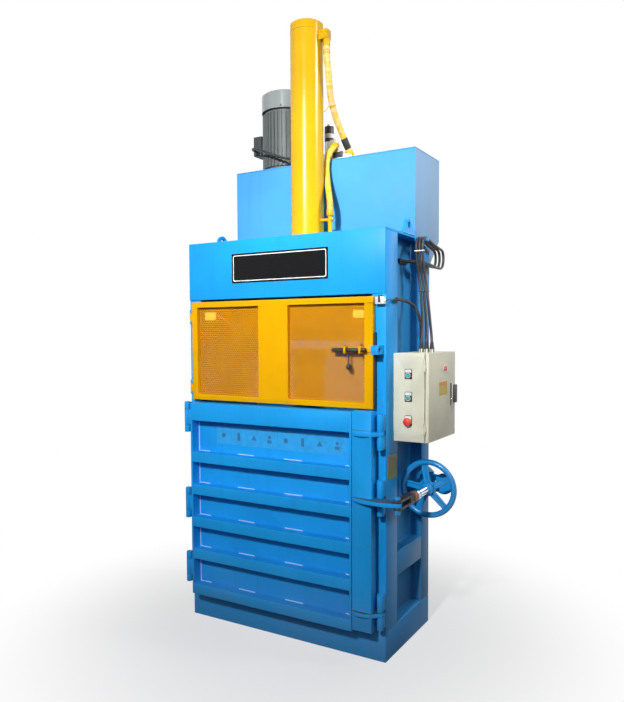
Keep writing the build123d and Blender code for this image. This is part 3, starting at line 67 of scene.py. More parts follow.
UP, DOWN = (0, 0, 1), (0, 0, -1)
FRONT, BACK = (0, -1, 0), (0, 1, 0)
LEFT, RIGHT = (-1, 0, 0), (1, 0, 0)


# Sizes and colours that a user may change


class PaintSettings(bpy.types.PropertyGroup):
    blue: FloatVectorProperty(
        name="Frame blue",
        description="Enamel of the frame, the bale door, the tank and the handwheel",
        subtype="COLOR",
        size=3,
        default=(0.012, 0.330, 0.80),
    )
    yellow: FloatVectorProperty(
        name="Door yellow",
        description="Enamel of the feed door and the press cylinder",
        subtype="COLOR",
        size=3,
        default=(0.76, 0.375, 0.0008),
    )
    beige: FloatVectorProperty(
        name="Box beige",
        description="Powder coat of the control box",
        subtype="COLOR",
        size=3,
        default=(0.66, 0.64, 0.50),
    )
    grey: FloatVectorProperty(
        name="Motor grey",
        description="Enamel of the motor",
        subtype="COLOR",
        size=3,
        default=(0.135, 0.150, 0.150),
    )
    peel: FloatProperty(
        name="Orange peel",
        description="Depth of the spray texture in the enamel",
        subtype="FACTOR",
        min=0.0,
        max=1.0,
        default=0.12,
    )


class ScreenSettings(bpy.types.PropertyGroup):
    pitch: FloatProperty(
        name="Hole pitch",
        description="Distance between the rows of holes in the screens",
        subtype="DISTANCE",
        default=0.0125,
    )
    hole: FloatProperty(
        name="Hole size",
        description="Radius of one hole in the screens",
        subtype="DISTANCE",
        default=0.0036,
    )


class WheelSettings(bpy.types.PropertyGroup):
    spokes: IntProperty(
        name="Spokes",
        description="Number of spokes in the handwheel",
        default=5,
        min=3,
        max=8,
    )
    rim: FloatProperty(
        name="Rim thickness",
        description="Radius of the rim's round section",
        subtype="DISTANCE",
        default=0.0145,
    )


class StudioSettings(bpy.types.PropertyGroup):
    key: FloatProperty(
        name="Key light",
        description="Power of the small front lamp that throws the shadows",
        subtype="POWER",
        default=45.0,
    )
    fill: FloatProperty(
        name="Fill light",
        description="Power of the wide lamp at the front right",
        subtype="POWER",
        default=10.0,
    )
    side: FloatProperty(
        name="Side light",
        description="Power of the lamp above the right side",
        subtype="POWER",
        default=14.0,
    )
    sheen: FloatProperty(
        name="Sheen",
        description="Power of the lamp behind on the right",
        subtype="POWER",
        default=34.0,
    )
    panel: FloatProperty(
        name="Left panel",
        description="Power of the wide panel on the left",
        subtype="POWER",
        default=10.0,
    )
    strip: FloatProperty(
        name="Strips",
        description="Power of each upright strip lamp",
        subtype="POWER",
        default=7.0,
    )
    sky: FloatProperty(
        name="Sky",
        description="Strength of the light that comes from all round",
        subtype="FACTOR",
        default=0.07,
        min=0.0,
        max=2.0,
    )


# Shader maths


class Value:
    """A socket that can take part in sums; every sum adds its Math node."""

    def __init__(self, shader, socket):
        self.shader = shader
        self.socket = socket

    def math(self, operation, *others):
        inputs = dict(enumerate((self, *others)))
        return self.shader.node("ShaderNodeMath", {"operation": operation}, inputs)

    def __add__(self, other):
        return self.math("ADD", other)

    __radd__ = __add__

    def __sub__(self, other):
        return self.math("SUBTRACT", other)

    def __rsub__(self, other):
        return self.shader.node("ShaderNodeMath", {"operation": "SUBTRACT"}, {0: other, 1: self})

    def __mul__(self, other):
        return self.math("MULTIPLY", other)

    __rmul__ = __mul__

    def __truediv__(self, other):
        return self.math("DIVIDE", other)

    def __pow__(self, other):
        return self.math("POWER", other)

    def ramp(self, low, high, start=0.0, end=1.0):
        """Smooth step from start to end while the value goes from low to high."""
        return self.shader.node(
            "ShaderNodeMapRange",
            {"interpolation_type": "SMOOTHSTEP"},
            {"Value": self, "From Min": low, "From Max": high, "To Min": start, "To Max": end},
        )


class Shader:
    """The nodes of one material or world, with a method for each thing the finishes need."""

    def __init__(self, owner):
        self.owner = owner
        owner.use_nodes = True
        self.tree = owner.node_tree
        self.tree.nodes.clear()

    def node(self, kind, settings=None, inputs=None, output=0):
        """A node of a type, with its settings and the values or links of its sockets."""
        made = self.tree.nodes.new(kind)
        for name, value in (settings or {}).items():
            setattr(made, name, value)
        for name, value in (inputs or {}).items():
            socket = made.inputs[name]
            if isinstance(value, Value):
                self.tree.links.new(value.socket, socket)
            else:
                socket.default_value = value
        return Value(self, made.outputs[output])

    def place(self, scale=(1.0, 1.0, 1.0), centre=(0.0, 0.0, 0.0), turn=(0.0, 0.0, 0.0)):
        """Object coordinates about a centre, turned and stretched."""
        start = self.node("ShaderNodeTexCoord", output="Object")
        moved = self.node("ShaderNodeVectorMath", {"operation": "SUBTRACT"}, {0: start, 1: centre})
        return self.node("ShaderNodeMapping", {}, {"Vector": moved, "Rotation": turn, "Scale": scale})

    def axis(self, name, vector=None):
        """One coordinate of the place on the object."""
        if vector is None:
            vector = self.node("ShaderNodeTexCoord", output="Object")
        return self.node("ShaderNodeSeparateXYZ", {}, {"Vector": vector}, output=name)

    def noise(self, scale, detail=3.0, vector=None, roughness=0.55):
        """Cloudy pattern on the object's coordinates, or on a vector."""
        inputs = {
            "Vector": vector or self.place(),
            "Scale": scale,
            "Detail": detail,
            "Roughness": roughness,
        }
        return self.node("ShaderNodeTexNoise", {}, inputs)

    def mix(self, factor, first, second):
        """Colour between two colours."""
        made = self.tree.nodes.new("ShaderNodeMix")
        made.data_type = "RGBA"
        for index, value in ((0, factor), (6, first), (7, second)):
            if isinstance(value, Value):
                self.tree.links.new(value.socket, made.inputs[index])
            elif index == 0:
                made.inputs[index].default_value = value
            else:
                made.inputs[index].default_value = (*value, 1.0)
        return Value(self, made.outputs[2])

    def bump(self, height, distance, strength=1.0, normal=None):
        """Relief over the surface, or over another relief."""
        inputs = {"Height": height, "Distance": distance, "Strength": strength}
        if normal is not None:
            inputs["Normal"] = normal
        return self.node("ShaderNodeBump", {}, inputs)

    def surface(self, **inputs):
        """Principled surface; names use underscores for spaces."""
        values = {}
        for name, value in inputs.items():
            if isinstance(value, tuple) and len(value) == 3:
                value = (*value, 1.0)
            values[name.replace("_", " ")] = value
        return self.node("ShaderNodeBsdfPrincipled", {}, values)

    def background_rays(self):
        """1 for the rays that show the pale background: camera, glossy and transmission rays."""
        camera, glossy, through = (
            self.node("ShaderNodeLightPath", output=f"Is {kind} Ray")
            for kind in ("Camera", "Glossy", "Transmission")
        )
        return (camera + glossy + through).ramp(0.0, 1.0)

    def finish(self, surface, output="ShaderNodeOutputMaterial"):
        """Join the surface to the output and give the finished material or world."""
        out = self.tree.nodes.new(output)
        self.tree.links.new(surface.socket, out.inputs["Surface"])
        return self.owner


def material(name):
    """Nodes of a new material."""
    return Shader(bpy.data.materials.new(name))


# Colours and lengths that several finishes share

WHITE = (1.0, 1.0, 1.0)
DUST = (0.17, 0.17, 0.17)
BARE = (0.10, 0.09, 0.085)
# near black: painted shade in the chamber, and the darker tops of the clamp's lugs
NEAR_BLACK = (0.050, 0.046, 0.042)
RUST = (0.085, 0.038, 0.018)
TINT_EDGE = 0.0004  # how far a tinted face fades past its limits


def shade(colour, factor):
    """Darker or lighter version of a colour."""
    return tuple(min(1.0, part * factor) for part in colour)


def mixed(first, second, share):
    """Colour that has a share of the second in the first."""
    return tuple(a + (b - a) * share for a, b in zip(first, second))


def enamel(name, colour, roughness=0.26, ripple=0.0012, grime=1.0, coat=0.0, shine=0.14, tinted_faces=()):
    """Sprayed enamel on welded plate: wavy sheet, orange peel, floor dust, scuffs, chips and tinted faces.

    A tinted face is an axis, the two limits of the face on it, the share of the tint and its colour; the
    tints are painted shade, painted sheen or a darker tone.
    """
    s = material(name)
    peel = bpy.context.scene.paint_settings.peel
    height = s.axis("Z")
    cloud = s.noise(2.2, 4.0, roughness=0.6)
    streak = s.noise(1.0, 4.0, s.place(scale=(26.0, 26.0, 1.6)), 0.6)
    speck = s.noise(150.0, 2.0)
    chip = s.noise(38.0, 5.0, roughness=0.7)
    chips = (chip * (0.93 + 0.14 * s.noise(5.0, 2.0))).ramp(0.70, 0.715)
    slant = s.place(scale=(9.0, 9.0, 210.0), turn=(0.35, 0.2, 0.0))
    scuffs = s.noise(1.0, 3.0, slant, 0.7).ramp(0.70, 0.78)
    tone = cloud.ramp(0.25, 0.75)
    body = s.mix(tone, shade(colour, 0.90), shade(colour, 1.07))
    body = s.mix(streak.ramp(0.52, 0.80, 0.0, 0.35 * grime), body, shade(colour, 0.72))
    dust = height.ramp(0.02, 0.55, 1.0, 0.0) * cloud.ramp(0.3, 0.8, 0.25, 1.0) * (0.40 * grime)
    body = s.mix(dust, body, DUST)
    body = s.mix(scuffs * (0.35 * grime), body, shade(colour, 1.55))
    body = s.mix(chips * (0.8 * grime), body, BARE)
    # faces between two limits get a painted shade, a painted sheen or a darker tone
    for axis, low, high, share, tint in tinted_faces:
        place = s.axis(axis)
        above = place.ramp(low - TINT_EDGE, low + TINT_EDGE)
        below = place.ramp(high - TINT_EDGE, high + TINT_EDGE, 1.0, 0.0)
        body = s.mix(above * below * cloud.ramp(0.2, 0.6, 0.7 * share, share), body, tint)
    rough = roughness + 0.16 * tone + 0.30 * dust + 0.10 * scuffs + 0.04 * speck
    waves = s.bump(s.noise(3.4, 1.0), ripple, 1.0)
    skin = s.bump(s.noise(700.0, 1.0), 0.00012, peel, waves)
    normal = s.bump(chips * -1.0, 0.00025, 0.6, skin)
    return s.finish(
        s.surface(
            Base_Color=body,
            Roughness=rough,
            Normal=normal,
            Specular_IOR_Level=shine,
            Coat_Weight=coat,
            Coat_Roughness=0.12,
        )
    )


def powder_coat(name, colour):
    """Fine-textured powder coat with hand marks and a little dust on top."""
    s = material(name)
    cloud = s.noise(7.0, 4.0)
    grain = s.noise(1500.0, 2.0)
    marks = s.noise(1.0, 4.0, s.place(scale=(30.0, 30.0, 8.0)), 0.65)
    body = s.mix(cloud.ramp(0.3, 0.7), shade(colour, 0.93), shade(colour, 1.05))
    body = s.mix(marks.ramp(0.60, 0.85, 0.0, 0.25), body, shade(colour, 0.60))
    body = s.mix(grain.ramp(0.3, 0.7, 0.0, 0.12), body, shade(colour, 0.75))
    rough = 0.42 + 0.14 * cloud + 0.12 * marks.ramp(0.55, 0.85)
    return s.finish(s.surface(Base_Color=body, Roughness=rough, Normal=s.bump(grain, 0.0002, 0.5)))


def turned_steel(name, colour=(0.62, 0.62, 0.63), roughness=0.22, along=(1.0, 700.0, 1.0), oil=0.35):
    """Machined bare steel with tool marks across its axis and an oily haze."""
    s = material(name)
    marks = s.noise(1.0, 2.0, s.place(scale=along), 0.5)
    haze = s.noise(28.0, 4.0)
    body = s.mix(haze.ramp(0.40, 0.75, 0.0, oil), colour, shade(colour, 0.45))
    rough = roughness + 0.10 * marks + 0.22 * haze.ramp(0.45, 0.80)
    normal = s.bump(marks, 0.00012, 0.5)
    return s.finish(s.surface(Base_Color=body, Roughness=rough, Metallic=1.0, Normal=normal))


def dark_steel(name, colour=(0.030, 0.030, 0.032), metallic=0.65):
    """Oiled, hot-formed steel: nearly black, with rubbed lighter patches and brown specks."""
    s = material(name)
    cloud = s.noise(45.0, 5.0, roughness=0.65)
    rust = s.noise(120.0, 4.0, roughness=0.7)
    scale = s.noise(420.0, 3.0)
    body = s.mix(cloud.ramp(0.45, 0.75, 0.0, 0.7), colour, (0.13, 0.13, 0.14))
    body = s.mix(rust.ramp(0.62, 0.74, 0.0, 0.6), body, RUST)
    rough = 0.38 + 0.25 * cloud
    normal = s.bump(scale, 0.0002, 0.5)
    return s.finish(s.surface(Base_Color=body, Roughness=rough, Metallic=metallic, Normal=normal))


def plated(name, colour=(0.80, 0.80, 0.82), roughness=0.10):
    """Bright zinc or chrome plating with a light haze and finger marks."""
    s = material(name)
    haze = s.noise(60.0, 4.0)
    swirl = s.noise(900.0, 2.0)
    body = s.mix(haze.ramp(0.4, 0.8, 0.0, 0.5), colour, shade(colour, 0.6))
    rough = roughness + 0.18 * haze.ramp(0.4, 0.8)
    normal = s.bump(swirl, 0.00004, 0.4)
    return s.finish(s.surface(Base_Color=body, Roughness=rough, Metallic=1.0, Normal=normal))


def moulded(name, colour, roughness=0.42, coat=0.0, grain=0.35):
    """Moulded plastic or rubber with a fine grain, and patches painted lighter as a sheen where it is rubbed.
    """
    s = material(name)
    cloud = s.noise(55.0, 4.0)
    fine = s.noise(1300.0, 2.0)
    body = s.mix(cloud.ramp(0.35, 0.75), shade(colour, 0.85), shade(colour, 1.12))
    # painted sheen: patches painted lighter where the plastic is rubbed shiny
    body = s.mix(s.noise(200.0, 3.0).ramp(0.66, 0.76, 0.0, 0.35), body, shade(colour, 1.6))
    rough = roughness + 0.14 * cloud
    normal = s.bump(fine, 0.00012, grain)
    return s.finish(s.surface(Base_Color=body, Roughness=rough, Normal=normal, Coat_Weight=coat))


def wrapped_hose(name, colour, pale):
    """Hose covered with overlapping tape, smeared with paint, oil and dirt."""
    s = material(name)
    along = s.axis("Z", s.place())
    lap = (along * 42.0 + 0.35 * s.noise(9.0, 2.0)).math("FRACT")
    edge = lap.ramp(0.86, 1.0)
    smear = s.noise(34.0, 5.0, roughness=0.7)
    dirt = s.noise(1.0, 5.0, s.place(scale=(110.0, 110.0, 22.0)), 0.72)
    body = s.mix(smear.ramp(0.42, 0.62), colour, pale)
    body = s.mix(dirt.ramp(0.60, 0.70, 0.0, 0.75), body, (0.05, 0.03, 0.02))
    body = s.mix(s.noise(70.0, 3.0).ramp(0.68, 0.74, 0.0, 0.8), body, (0.40, 0.05, 0.02))
    body = s.mix(edge * 0.55, body, shade(colour, 0.35))
    wrinkle = s.noise(240.0, 4.0)
    normal = s.bump(lap, 0.0016, 0.7, s.bump(wrinkle, 0.0008, 0.5))
    return s.finish(s.surface(Base_Color=body, Roughness=0.42 + 0.25 * smear, Normal=normal))


STAGGER = 0.866  # height of a row of holes against their pitch


def perforated(name, colour, pitch, hole, centre):
    """Punched sheet: staggered round holes, with enamel built up round each one and painted shade at its rim.
    """
    s = material(name)
    rows = pitch * STAGGER
    across = s.axis("X", s.place(centre=centre))
    up = s.axis("Z", s.place(centre=centre))
    row = up / rows
    shift = row.math("FLOOR").math("MODULO", 2.0).math("ABSOLUTE") * (pitch / 2)
    u = ((across + shift) / pitch).math("FRACT") - 0.5
    v = row.math("FRACT") - 0.5
    far = ((u * pitch) ** 2.0 + (v * rows) ** 2.0) ** 0.5
    sheet = far.ramp(hole - 0.0003, hole + 0.0003)
    lip = far.ramp(hole, hole + 0.0011)
    cloud = s.noise(4.0, 4.0)
    dust = s.noise(30.0, 4.0)
    body = s.mix(cloud.ramp(0.3, 0.7), shade(colour, 0.88), shade(colour, 1.05))
    body = s.mix(dust.ramp(0.55, 0.8, 0.0, 0.3), body, shade(colour, 0.6))
    # painted shade: each hole's rim is painted darker, while the bump raises it as a lip
    body = s.mix(lip, shade(colour, 0.55), body)
    normal = s.bump(lip, 0.0004, 0.8)
    return s.finish(
        s.surface(
            Base_Color=body,
            Roughness=0.40 + 0.12 * cloud,
            Alpha=sheet,
            Normal=normal,
            Specular_IOR_Level=0.12,
        )
    )


def threaded(name, centre, pitch, colour=(0.20, 0.20, 0.21)):
    """Oily screw whose thread runs along Y round an axis through a centre."""
    s = material(name)
    place = s.place(centre=centre)
    angle = s.axis("Z", place).math("ARCTAN2", s.axis("X", place)) / FULL_TURN
    turn = (angle + s.axis("Y", place) / pitch).math("FRACT")
    ridge = turn.math("PINGPONG", 0.5) * 2.0
    haze = s.noise(50.0, 4.0)
    # painted shade: the thread's valleys are painted darker than its crests
    body = s.mix(ridge.ramp(0.15, 0.75), shade(colour, 0.30), colour)
    body = s.mix(haze.ramp(0.5, 0.8, 0.0, 0.5), body, (0.09, 0.06, 0.04))
    normal = s.bump(ridge, 0.0016, 1.0)
    rough = 0.28 + 0.2 * haze
    return s.finish(s.surface(Base_Color=body, Roughness=rough, Metallic=0.9, Normal=normal))


def corrugated(name, colour, pitch):
    """Ribbed plastic conduit that rises and runs forward."""
    s = material(name)
    wave = ((s.axis("Z") - s.axis("Y")) * (FULL_TURN / pitch)).math("SINE")
    dust = s.noise(60.0, 4.0)
    # painted shade: the troughs between the ribs are painted darker
    body = s.mix(wave.ramp(-1.0, 1.0), shade(colour, 0.4), colour)
    body = s.mix(dust.ramp(0.5, 0.8, 0.0, 0.3), body, (0.12, 0.12, 0.12))
    normal = s.bump(wave, 0.0010, 0.9)
    return s.finish(s.surface(Base_Color=body, Roughness=0.45 + 0.15 * dust, Normal=normal))


def glass_lens(name, colour):
    """Ribbed coloured lens."""
    s = material(name)
    ribs = s.noise(1.0, 1.0, s.place(scale=(60.0, 900.0, 900.0)))
    body = s.mix(ribs.ramp(0.35, 0.65), shade(colour, 0.7), colour)
    rough, normal = 0.10 + 0.1 * ribs, s.bump(ribs, 0.0003, 0.4)
    return s.finish(s.surface(Base_Color=body, Roughness=rough, Coat_Weight=1.0, Normal=normal))


def printed(name, colour, roughness=0.35, wear=0.5, shine=0.4):
    """Flat printed or adhesive plate with worn edges and a few scratches."""
    s = material(name)
    cloud = s.noise(26.0, 4.0)
    line = s.noise(1.0, 3.0, s.place(scale=(30.0, 30.0, 900.0), turn=(0.0, 0.5, 0.0)), 0.7)
    body = s.mix(cloud.ramp(0.3, 0.7), shade(colour, 0.9), shade(colour, 1.08))
    body = s.mix(line.ramp(0.70, 0.76, 0.0, 0.5 * wear), body, (0.35, 0.35, 0.35))
    rough = roughness + 0.12 * cloud
    normal = s.bump(cloud, 0.0003, 0.15)
    return s.finish(s.surface(Base_Color=body, Roughness=rough, Normal=normal, Specular_IOR_Level=shine))


# Where the pieces are soiled or painted with shade and sheen, and the pitch of their patterns

LUG_TOPS = (0.266, 0.818, 1.140)  # upper faces of the clamp's crescent lugs, which are painted darker
LUG_TOP_BAND = 0.0012
CHAMBER_BACK = 0.2545  # inner face of the rear wall; the wall is painted near black as shade from it forward
# grey painted sheen on the tank's right side face
TANK_SIDE_SHEEN = (0.30, 0.31, 0.28)
# pale colour mixed into the tank's blue as a painted sheen
PALE_SHEEN = (0.75, 0.75, 0.75)
# painted shade mixed into the blue of the side walls and rear posts
SIDE_SHADE = (0.05, 0.08, 0.10)
WELD_GLINT = (0.9, 0.95, 1.0)
SCREEN_CENTRE = (0.0, 0.0, 1.5)
THREAD_PITCH = 0.005
RIB_PITCH = 0.0042

finishes = {}


def make_finishes():
    """Fill the list of finishes by name, in the colours of the settings."""
    paint = bpy.context.scene.paint_settings
    blue, yellow, beige, grey = (tuple(getattr(paint, name)) for name in ("blue", "yellow", "beige", "grey"))
    screens = bpy.context.scene.screen_settings
    tank_side, screw = limits("tank_shell")[0][1], middle("lock_spindle")
    finishes.update(
        blue=enamel("blue_enamel", blue, 0.34),
        # weld beads: a painted glint, pale mixed into their blue
        weld=enamel("weld_bead", mixed(blue, WELD_GLINT, 0.45), 0.16, 0.0001, 0.4, 0.6),
        # side walls and rear posts: painted shade in their blue, and more grime
        blue_side=enamel("blue_grimy", mixed(blue, SIDE_SHADE, 0.38), 0.36, grime=1.5),
        blue_cast=enamel("blue_casting", shade(blue, 0.8), 0.15, 0.0004, 0.6, 0.3, 0.3),
        # tank: a pale painted sheen over its blue, and a grey painted sheen on its right side face
        blue_tank=enamel(
            "blue_dusty",
            mixed(blue, PALE_SHEEN, 0.09),
            0.42,
            tinted_faces=(("X", tank_side - 0.001, tank_side + 1.0, 0.55, TANK_SIDE_SHEEN),),
        ),
        # clamp: the upper faces of its lugs are painted near black
        blue_clamp=enamel(
            "blue_trodden",
            blue,
            0.30,
            tinted_faces=[("Z", top - LUG_TOP_BAND, top + LUG_TOP_BAND, 0.9, NEAR_BLACK) for top in LUG_TOPS],
        ),
        # rear wall: painted shade, near black on its chamber side
        blue_rear=enamel("blue_chamber", blue, 0.34, tinted_faces=(("Y", -1.0, CHAMBER_BACK, 0.9, NEAR_BLACK),)),
        # platen: painted shade, near black mixed into its blue for the dark chamber
        blue_platen=enamel("blue_platen", mixed(blue, NEAR_BLACK, 0.6), 0.40),
        yellow=enamel("yellow_enamel", yellow, 0.24, 0.0006, 0.45, 0.0, 0.1),
        beige=powder_coat("beige_powder_coat", beige),
        grey=enamel("grey_enamel", grey, 0.30, 0.0002, 0.6),
        pale_grey=enamel("pale_grey_enamel", shade(grey, 1.9), 0.12, 0.0002, 0.5, 0.8),
        steel=turned_steel("turned_steel"),
        rod=plated("ground_chrome", (0.72, 0.72, 0.74), 0.07),
        dark=dark_steel("oiled_steel"),
        brown=dark_steel("bronze_brown", (0.24, 0.115, 0.055), 0.6),
        press=enamel("press_yellow", (0.68, 0.39, 0.002), 0.15, 0.0002, 0.4, 0.05, 0.2),
        aluminium=turned_steel(
            "milled_aluminium", (0.70, 0.70, 0.68), 0.34, along=(300.0, 300.0, 1.0), oil=0.2
        ),
        plated=plated("bright_plating"),
        rubber=moulded("black_rubber", (0.016, 0.016, 0.017), 0.62, grain=0.7),
        cable=moulded("black_cable", (0.020, 0.020, 0.021), 0.40),
        plastic=moulded("black_plastic", (0.022, 0.022, 0.024), 0.38),
        white=moulded("white_plastic", (0.78, 0.78, 0.77), 0.40),
        green=moulded("green_plastic", (0.03, 0.36, 0.32), 0.28, 0.6, 0.1),
        red=moulded("red_plastic", (0.78, 0.035, 0.018), 0.28, 0.6, 0.1),
        lens=glass_lens("red_lens", (0.62, 0.012, 0.035)),
        hose=wrapped_hose("taped_hose", (0.80, 0.50, 0.02), (0.80, 0.62, 0.36)),
        hose_low=wrapped_hose("taped_hose_low", (0.82, 0.50, 0.01), (0.84, 0.58, 0.12)),
        sign=printed("black_sign", (0.003, 0.003, 0.004), 0.20, 0.1, 0.15),
        line=printed("white_line", (0.82, 0.82, 0.80)),
        label=printed("pale_label", (0.74, 0.74, 0.71)),
        field=printed("yellow_field", (0.58, 0.42, 0.03)),
        orange=printed("orange_strip", (0.72, 0.25, 0.02)),
        olive=printed("olive_field", (0.19, 0.19, 0.02)),
        pale_yellow=printed("pale_yellow_field", (0.80, 0.48, 0.04)),
        strip=printed("pale_blue_field", (0.024, 0.34, 0.74)),
        strip_shape=printed("faded_blue_shape", (0.020, 0.16, 0.36)),
        seam=moulded("joint_line", (0.22, 0.12, 0.01), 0.6),
        dark_grey=enamel("dark_grey_enamel", shade(grey, 0.45), 0.34, 0.0002, 0.6),
        yellow_cast=enamel("yellow_casting", yellow, 0.22, 0.0003, 0.6, 0.5),
        yellow_plastic=moulded("yellow_plastic", (0.80, 0.55, 0.02), 0.35, 0.4, 0.1),
        punched=perforated(
            "punched_sheet", (0.74, 0.30, 0.0006), screens.pitch, screens.hole, SCREEN_CENTRE
        ),
        thread=threaded("screw_thread", (screw.x, 0.0, screw.z), THREAD_PITCH),
        conduit=corrugated("ribbed_conduit", (0.040, 0.041, 0.043), RIB_PITCH),
    )


# Modelling


def limits(node):
    """Limits of a CAD piece along X, Y and Z."""
    return list(zip(*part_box(node)))


def middle(node):
    """Centre of a CAD piece."""
    return Vector([(low + high) / 2 for low, high in limits(node)])


def front_of(node):
    """Centre of a round CAD piece's front face, and its radius."""
    (left, right), (front, _), _ = limits(node)
    centre = middle(node)
    return Vector((centre.x, front, centre.z)), (right - left) / 2


def finished(piece, carrier, finish, replaces=()):
    """Link a piece, give it its finish and let it ride with the CAD piece that carries it."""
    bpy.context.scene.collection.objects.link(piece)
    piece.data.materials.append(finishes[finish])
    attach(piece, body_of[carrier])
    if replaces:
        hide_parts(*replaces)
    return piece


def mesh_piece(name, bm, carrier, finish, angle=32.0, replaces=()):
    """Turn a bmesh into a finished piece on the CAD piece that carries it."""
    mesh = bpy.data.meshes.new(name)
    bm.to_mesh(mesh)
    bm.free()
    mesh.shade_smooth()
    mesh.set_sharp_from_angle(angle=math.radians(angle))
    return finished(bpy.data.objects.new(name, mesh), carrier, finish, replaces)


def bevelled(bm, edges, width, segments=2):
    """Round edges by a width."""
    bmesh.ops.bevel(
        bm,
        geom=edges,
        offset=width,
        offset_type="OFFSET",
        segments=segments,
        profile=0.5,
        affect="EDGES",
        clamp_overlap=True,
        material=-1,
    )


def cube(bm, x, y, z):
    """Corners of a new box between limits on each axis."""
    size = [high - low for low, high in (x, y, z)]
    centre = Vector([(low + high) / 2 for low, high in (x, y, z)])
    matrix = Matrix.Translation(centre) @ Matrix.Diagonal((*size, 1.0))
    return bmesh.ops.create_cube(bm, size=1.0, matrix=matrix)["verts"]


def once(items):
    """Items in their own order, each one once."""
    return list(dict.fromkeys(items))


def edges_of(verts):
    """Edges that meet at corners."""
    return once(edge for vert in verts for edge in vert.link_edges)


def block(bm, x, y, z, bevel=0.0):
    """A box between limits on each axis, with rounded edges."""
    made = cube(bm, x, y, z)
    if bevel:
        bevelled(bm, edges_of(made), bevel)


def facing(place, direction):
    """Matrix at a place whose own Z points along a direction."""
    turn = Vector(direction).to_track_quat("Z", "Y").to_matrix().to_4x4()
    return Matrix.Translation(place) @ turn


def between(start, end):
    """Matrix that puts a unit-deep round, centred on its own Z, between two points."""
    start, end = Vector(start), Vector(end)
    return facing((start + end) / 2, end - start)


def cap_edges(verts):
    """Edges of the two end faces of a round or a hexagon."""
    faces = once(face for vert in verts for face in vert.link_faces if len(face.verts) > 4)
    return once(edge for face in faces for edge in face.edges)


def rod(bm, start, end, radius, end_radius=None, segments=32, bevel=0.0):
    """A round or cone between two points."""
    made = bmesh.ops.create_cone(
        bm,
        cap_ends=True,
        segments=segments,
        radius1=radius,
        radius2=radius if end_radius is None else end_radius,
        depth=(Vector(end) - Vector(start)).length,
        matrix=between(start, end),
    )["verts"]
    if bevel:
        bevelled(bm, cap_edges(made), bevel)


def spun(bm, geometry, matrix, steps):
    """Spin geometry a full turn about a matrix's own Z."""
    bmesh.ops.spin(
        bm,
        geom=geometry,
        cent=matrix.translation,
        axis=matrix.to_3x3() @ Vector(UP),
        angle=FULL_TURN,
        steps=steps,
        use_merge=True,
    )


def turned(bm, profile, matrix, steps=48):
    """A profile of (radius, height) points spun about an axis, closed where it doesn't end on the axis."""
    if profile[-1][0] > 0.0 and profile[-1] != profile[0]:
        profile = [*profile, profile[0]]
    verts = [bm.verts.new(matrix @ Vector((radius, 0.0, height))) for radius, height in profile]
    edges = [bm.edges.new(pair) for pair in zip(verts, verts[1:])]
    spun(bm, verts + edges, matrix, steps)
    bmesh.ops.remove_doubles(bm, verts=bm.verts, dist=1e-6)
    bmesh.ops.recalc_face_normals(bm, faces=bm.faces)


def hex_bolt(bm, place, direction, size, washer=True):
    """Hexagon head standing on a surface, with its washer if it has one."""
    matrix = facing(place, direction)
    if washer:
        rod(bm, place, matrix @ Vector((0, 0, size * 0.18)), size * 1.15, size * 1.12, 24)
    head = bmesh.ops.create_cone(
        bm,
        cap_ends=True,
        segments=6,
        radius1=size,
        radius2=size,
        depth=size * 0.65,
        matrix=matrix @ Matrix.Translation((0, 0, size * 0.5)),
    )["verts"]
    bevelled(bm, cap_edges(head), size * 0.10, 1)


def screws(name, places, direction, size, carrier, finish, washer=False):
    """A finished piece of like screws that face one way."""
    bm = bmesh.new()
    for place in places:
        hex_bolt(bm, place, direction, size, washer)
    mesh_piece(name, bm, carrier, finish)


RIPPLE = 0.78  # radius of a weld bead in its valleys against its crests


def weld(bm, start, end, radius=0.0035, pitch=0.006):
    """A weld bead: a half-sunk round with ripples along it."""
    run = (Vector(end) - Vector(start)).length
    matrix = between(start, end)
    last = 2 * max(2, int(run / pitch))
    rings = []
    for index in range(last + 1):
        step = matrix @ Matrix.Translation((0, 0, (index / last - 0.5) * run))
        swell = radius * (1.0 if index % 2 else RIPPLE)
        rings.append(bmesh.ops.create_circle(bm, segments=8, radius=swell, matrix=step)["verts"])
    bmesh.ops.bridge_loops(bm, edges=edges_of([vert for ring in rings for vert in ring]))
    for ring in (rings[0], rings[-1]):
        rim = [edge for edge in edges_of(ring) if edge.is_boundary]
        bmesh.ops.edgeloop_fill(bm, edges=rim)


def welded(name, bm, carrier, finish="blue_cast"):
    """Finished piece made of weld beads, with all its faces turned outward."""
    bmesh.ops.recalc_face_normals(bm, faces=bm.faces)
    mesh_piece(name, bm, carrier, finish)


SAME_CORNER = 2e-5  # corners of a CAD piece nearer than this are joined
FLAT = math.radians(1.0)  # its edges flatter than this are dissolved
SHARP = math.radians(28.0)  # its edges sharper than this are rounded


def softened(node, finish, width):
    """A copy of a CAD piece with its corners rounded, which stands for it."""
    bm = bmesh.new()
    bm.from_mesh(nodes[node].data)
    bmesh.ops.remove_doubles(bm, verts=bm.verts, dist=SAME_CORNER)
    bmesh.ops.dissolve_limit(
        bm,
        angle_limit=FLAT,
        verts=bm.verts,
        edges=bm.edges,
        use_dissolve_boundaries=False,
    )
    sharp = [edge for edge in bm.edges if len(edge.link_faces) == 2 and edge.calc_face_angle(0.0) > SHARP]
    bevelled(bm, sharp, width)
    mesh_piece(f"{node}_looks", bm, node, finish, replaces=(node,))


CORNER_STEPS = 5
RIM_ANGLE = 1.2  # a plate's rims turn by more than this, and the steps of its round corners by less


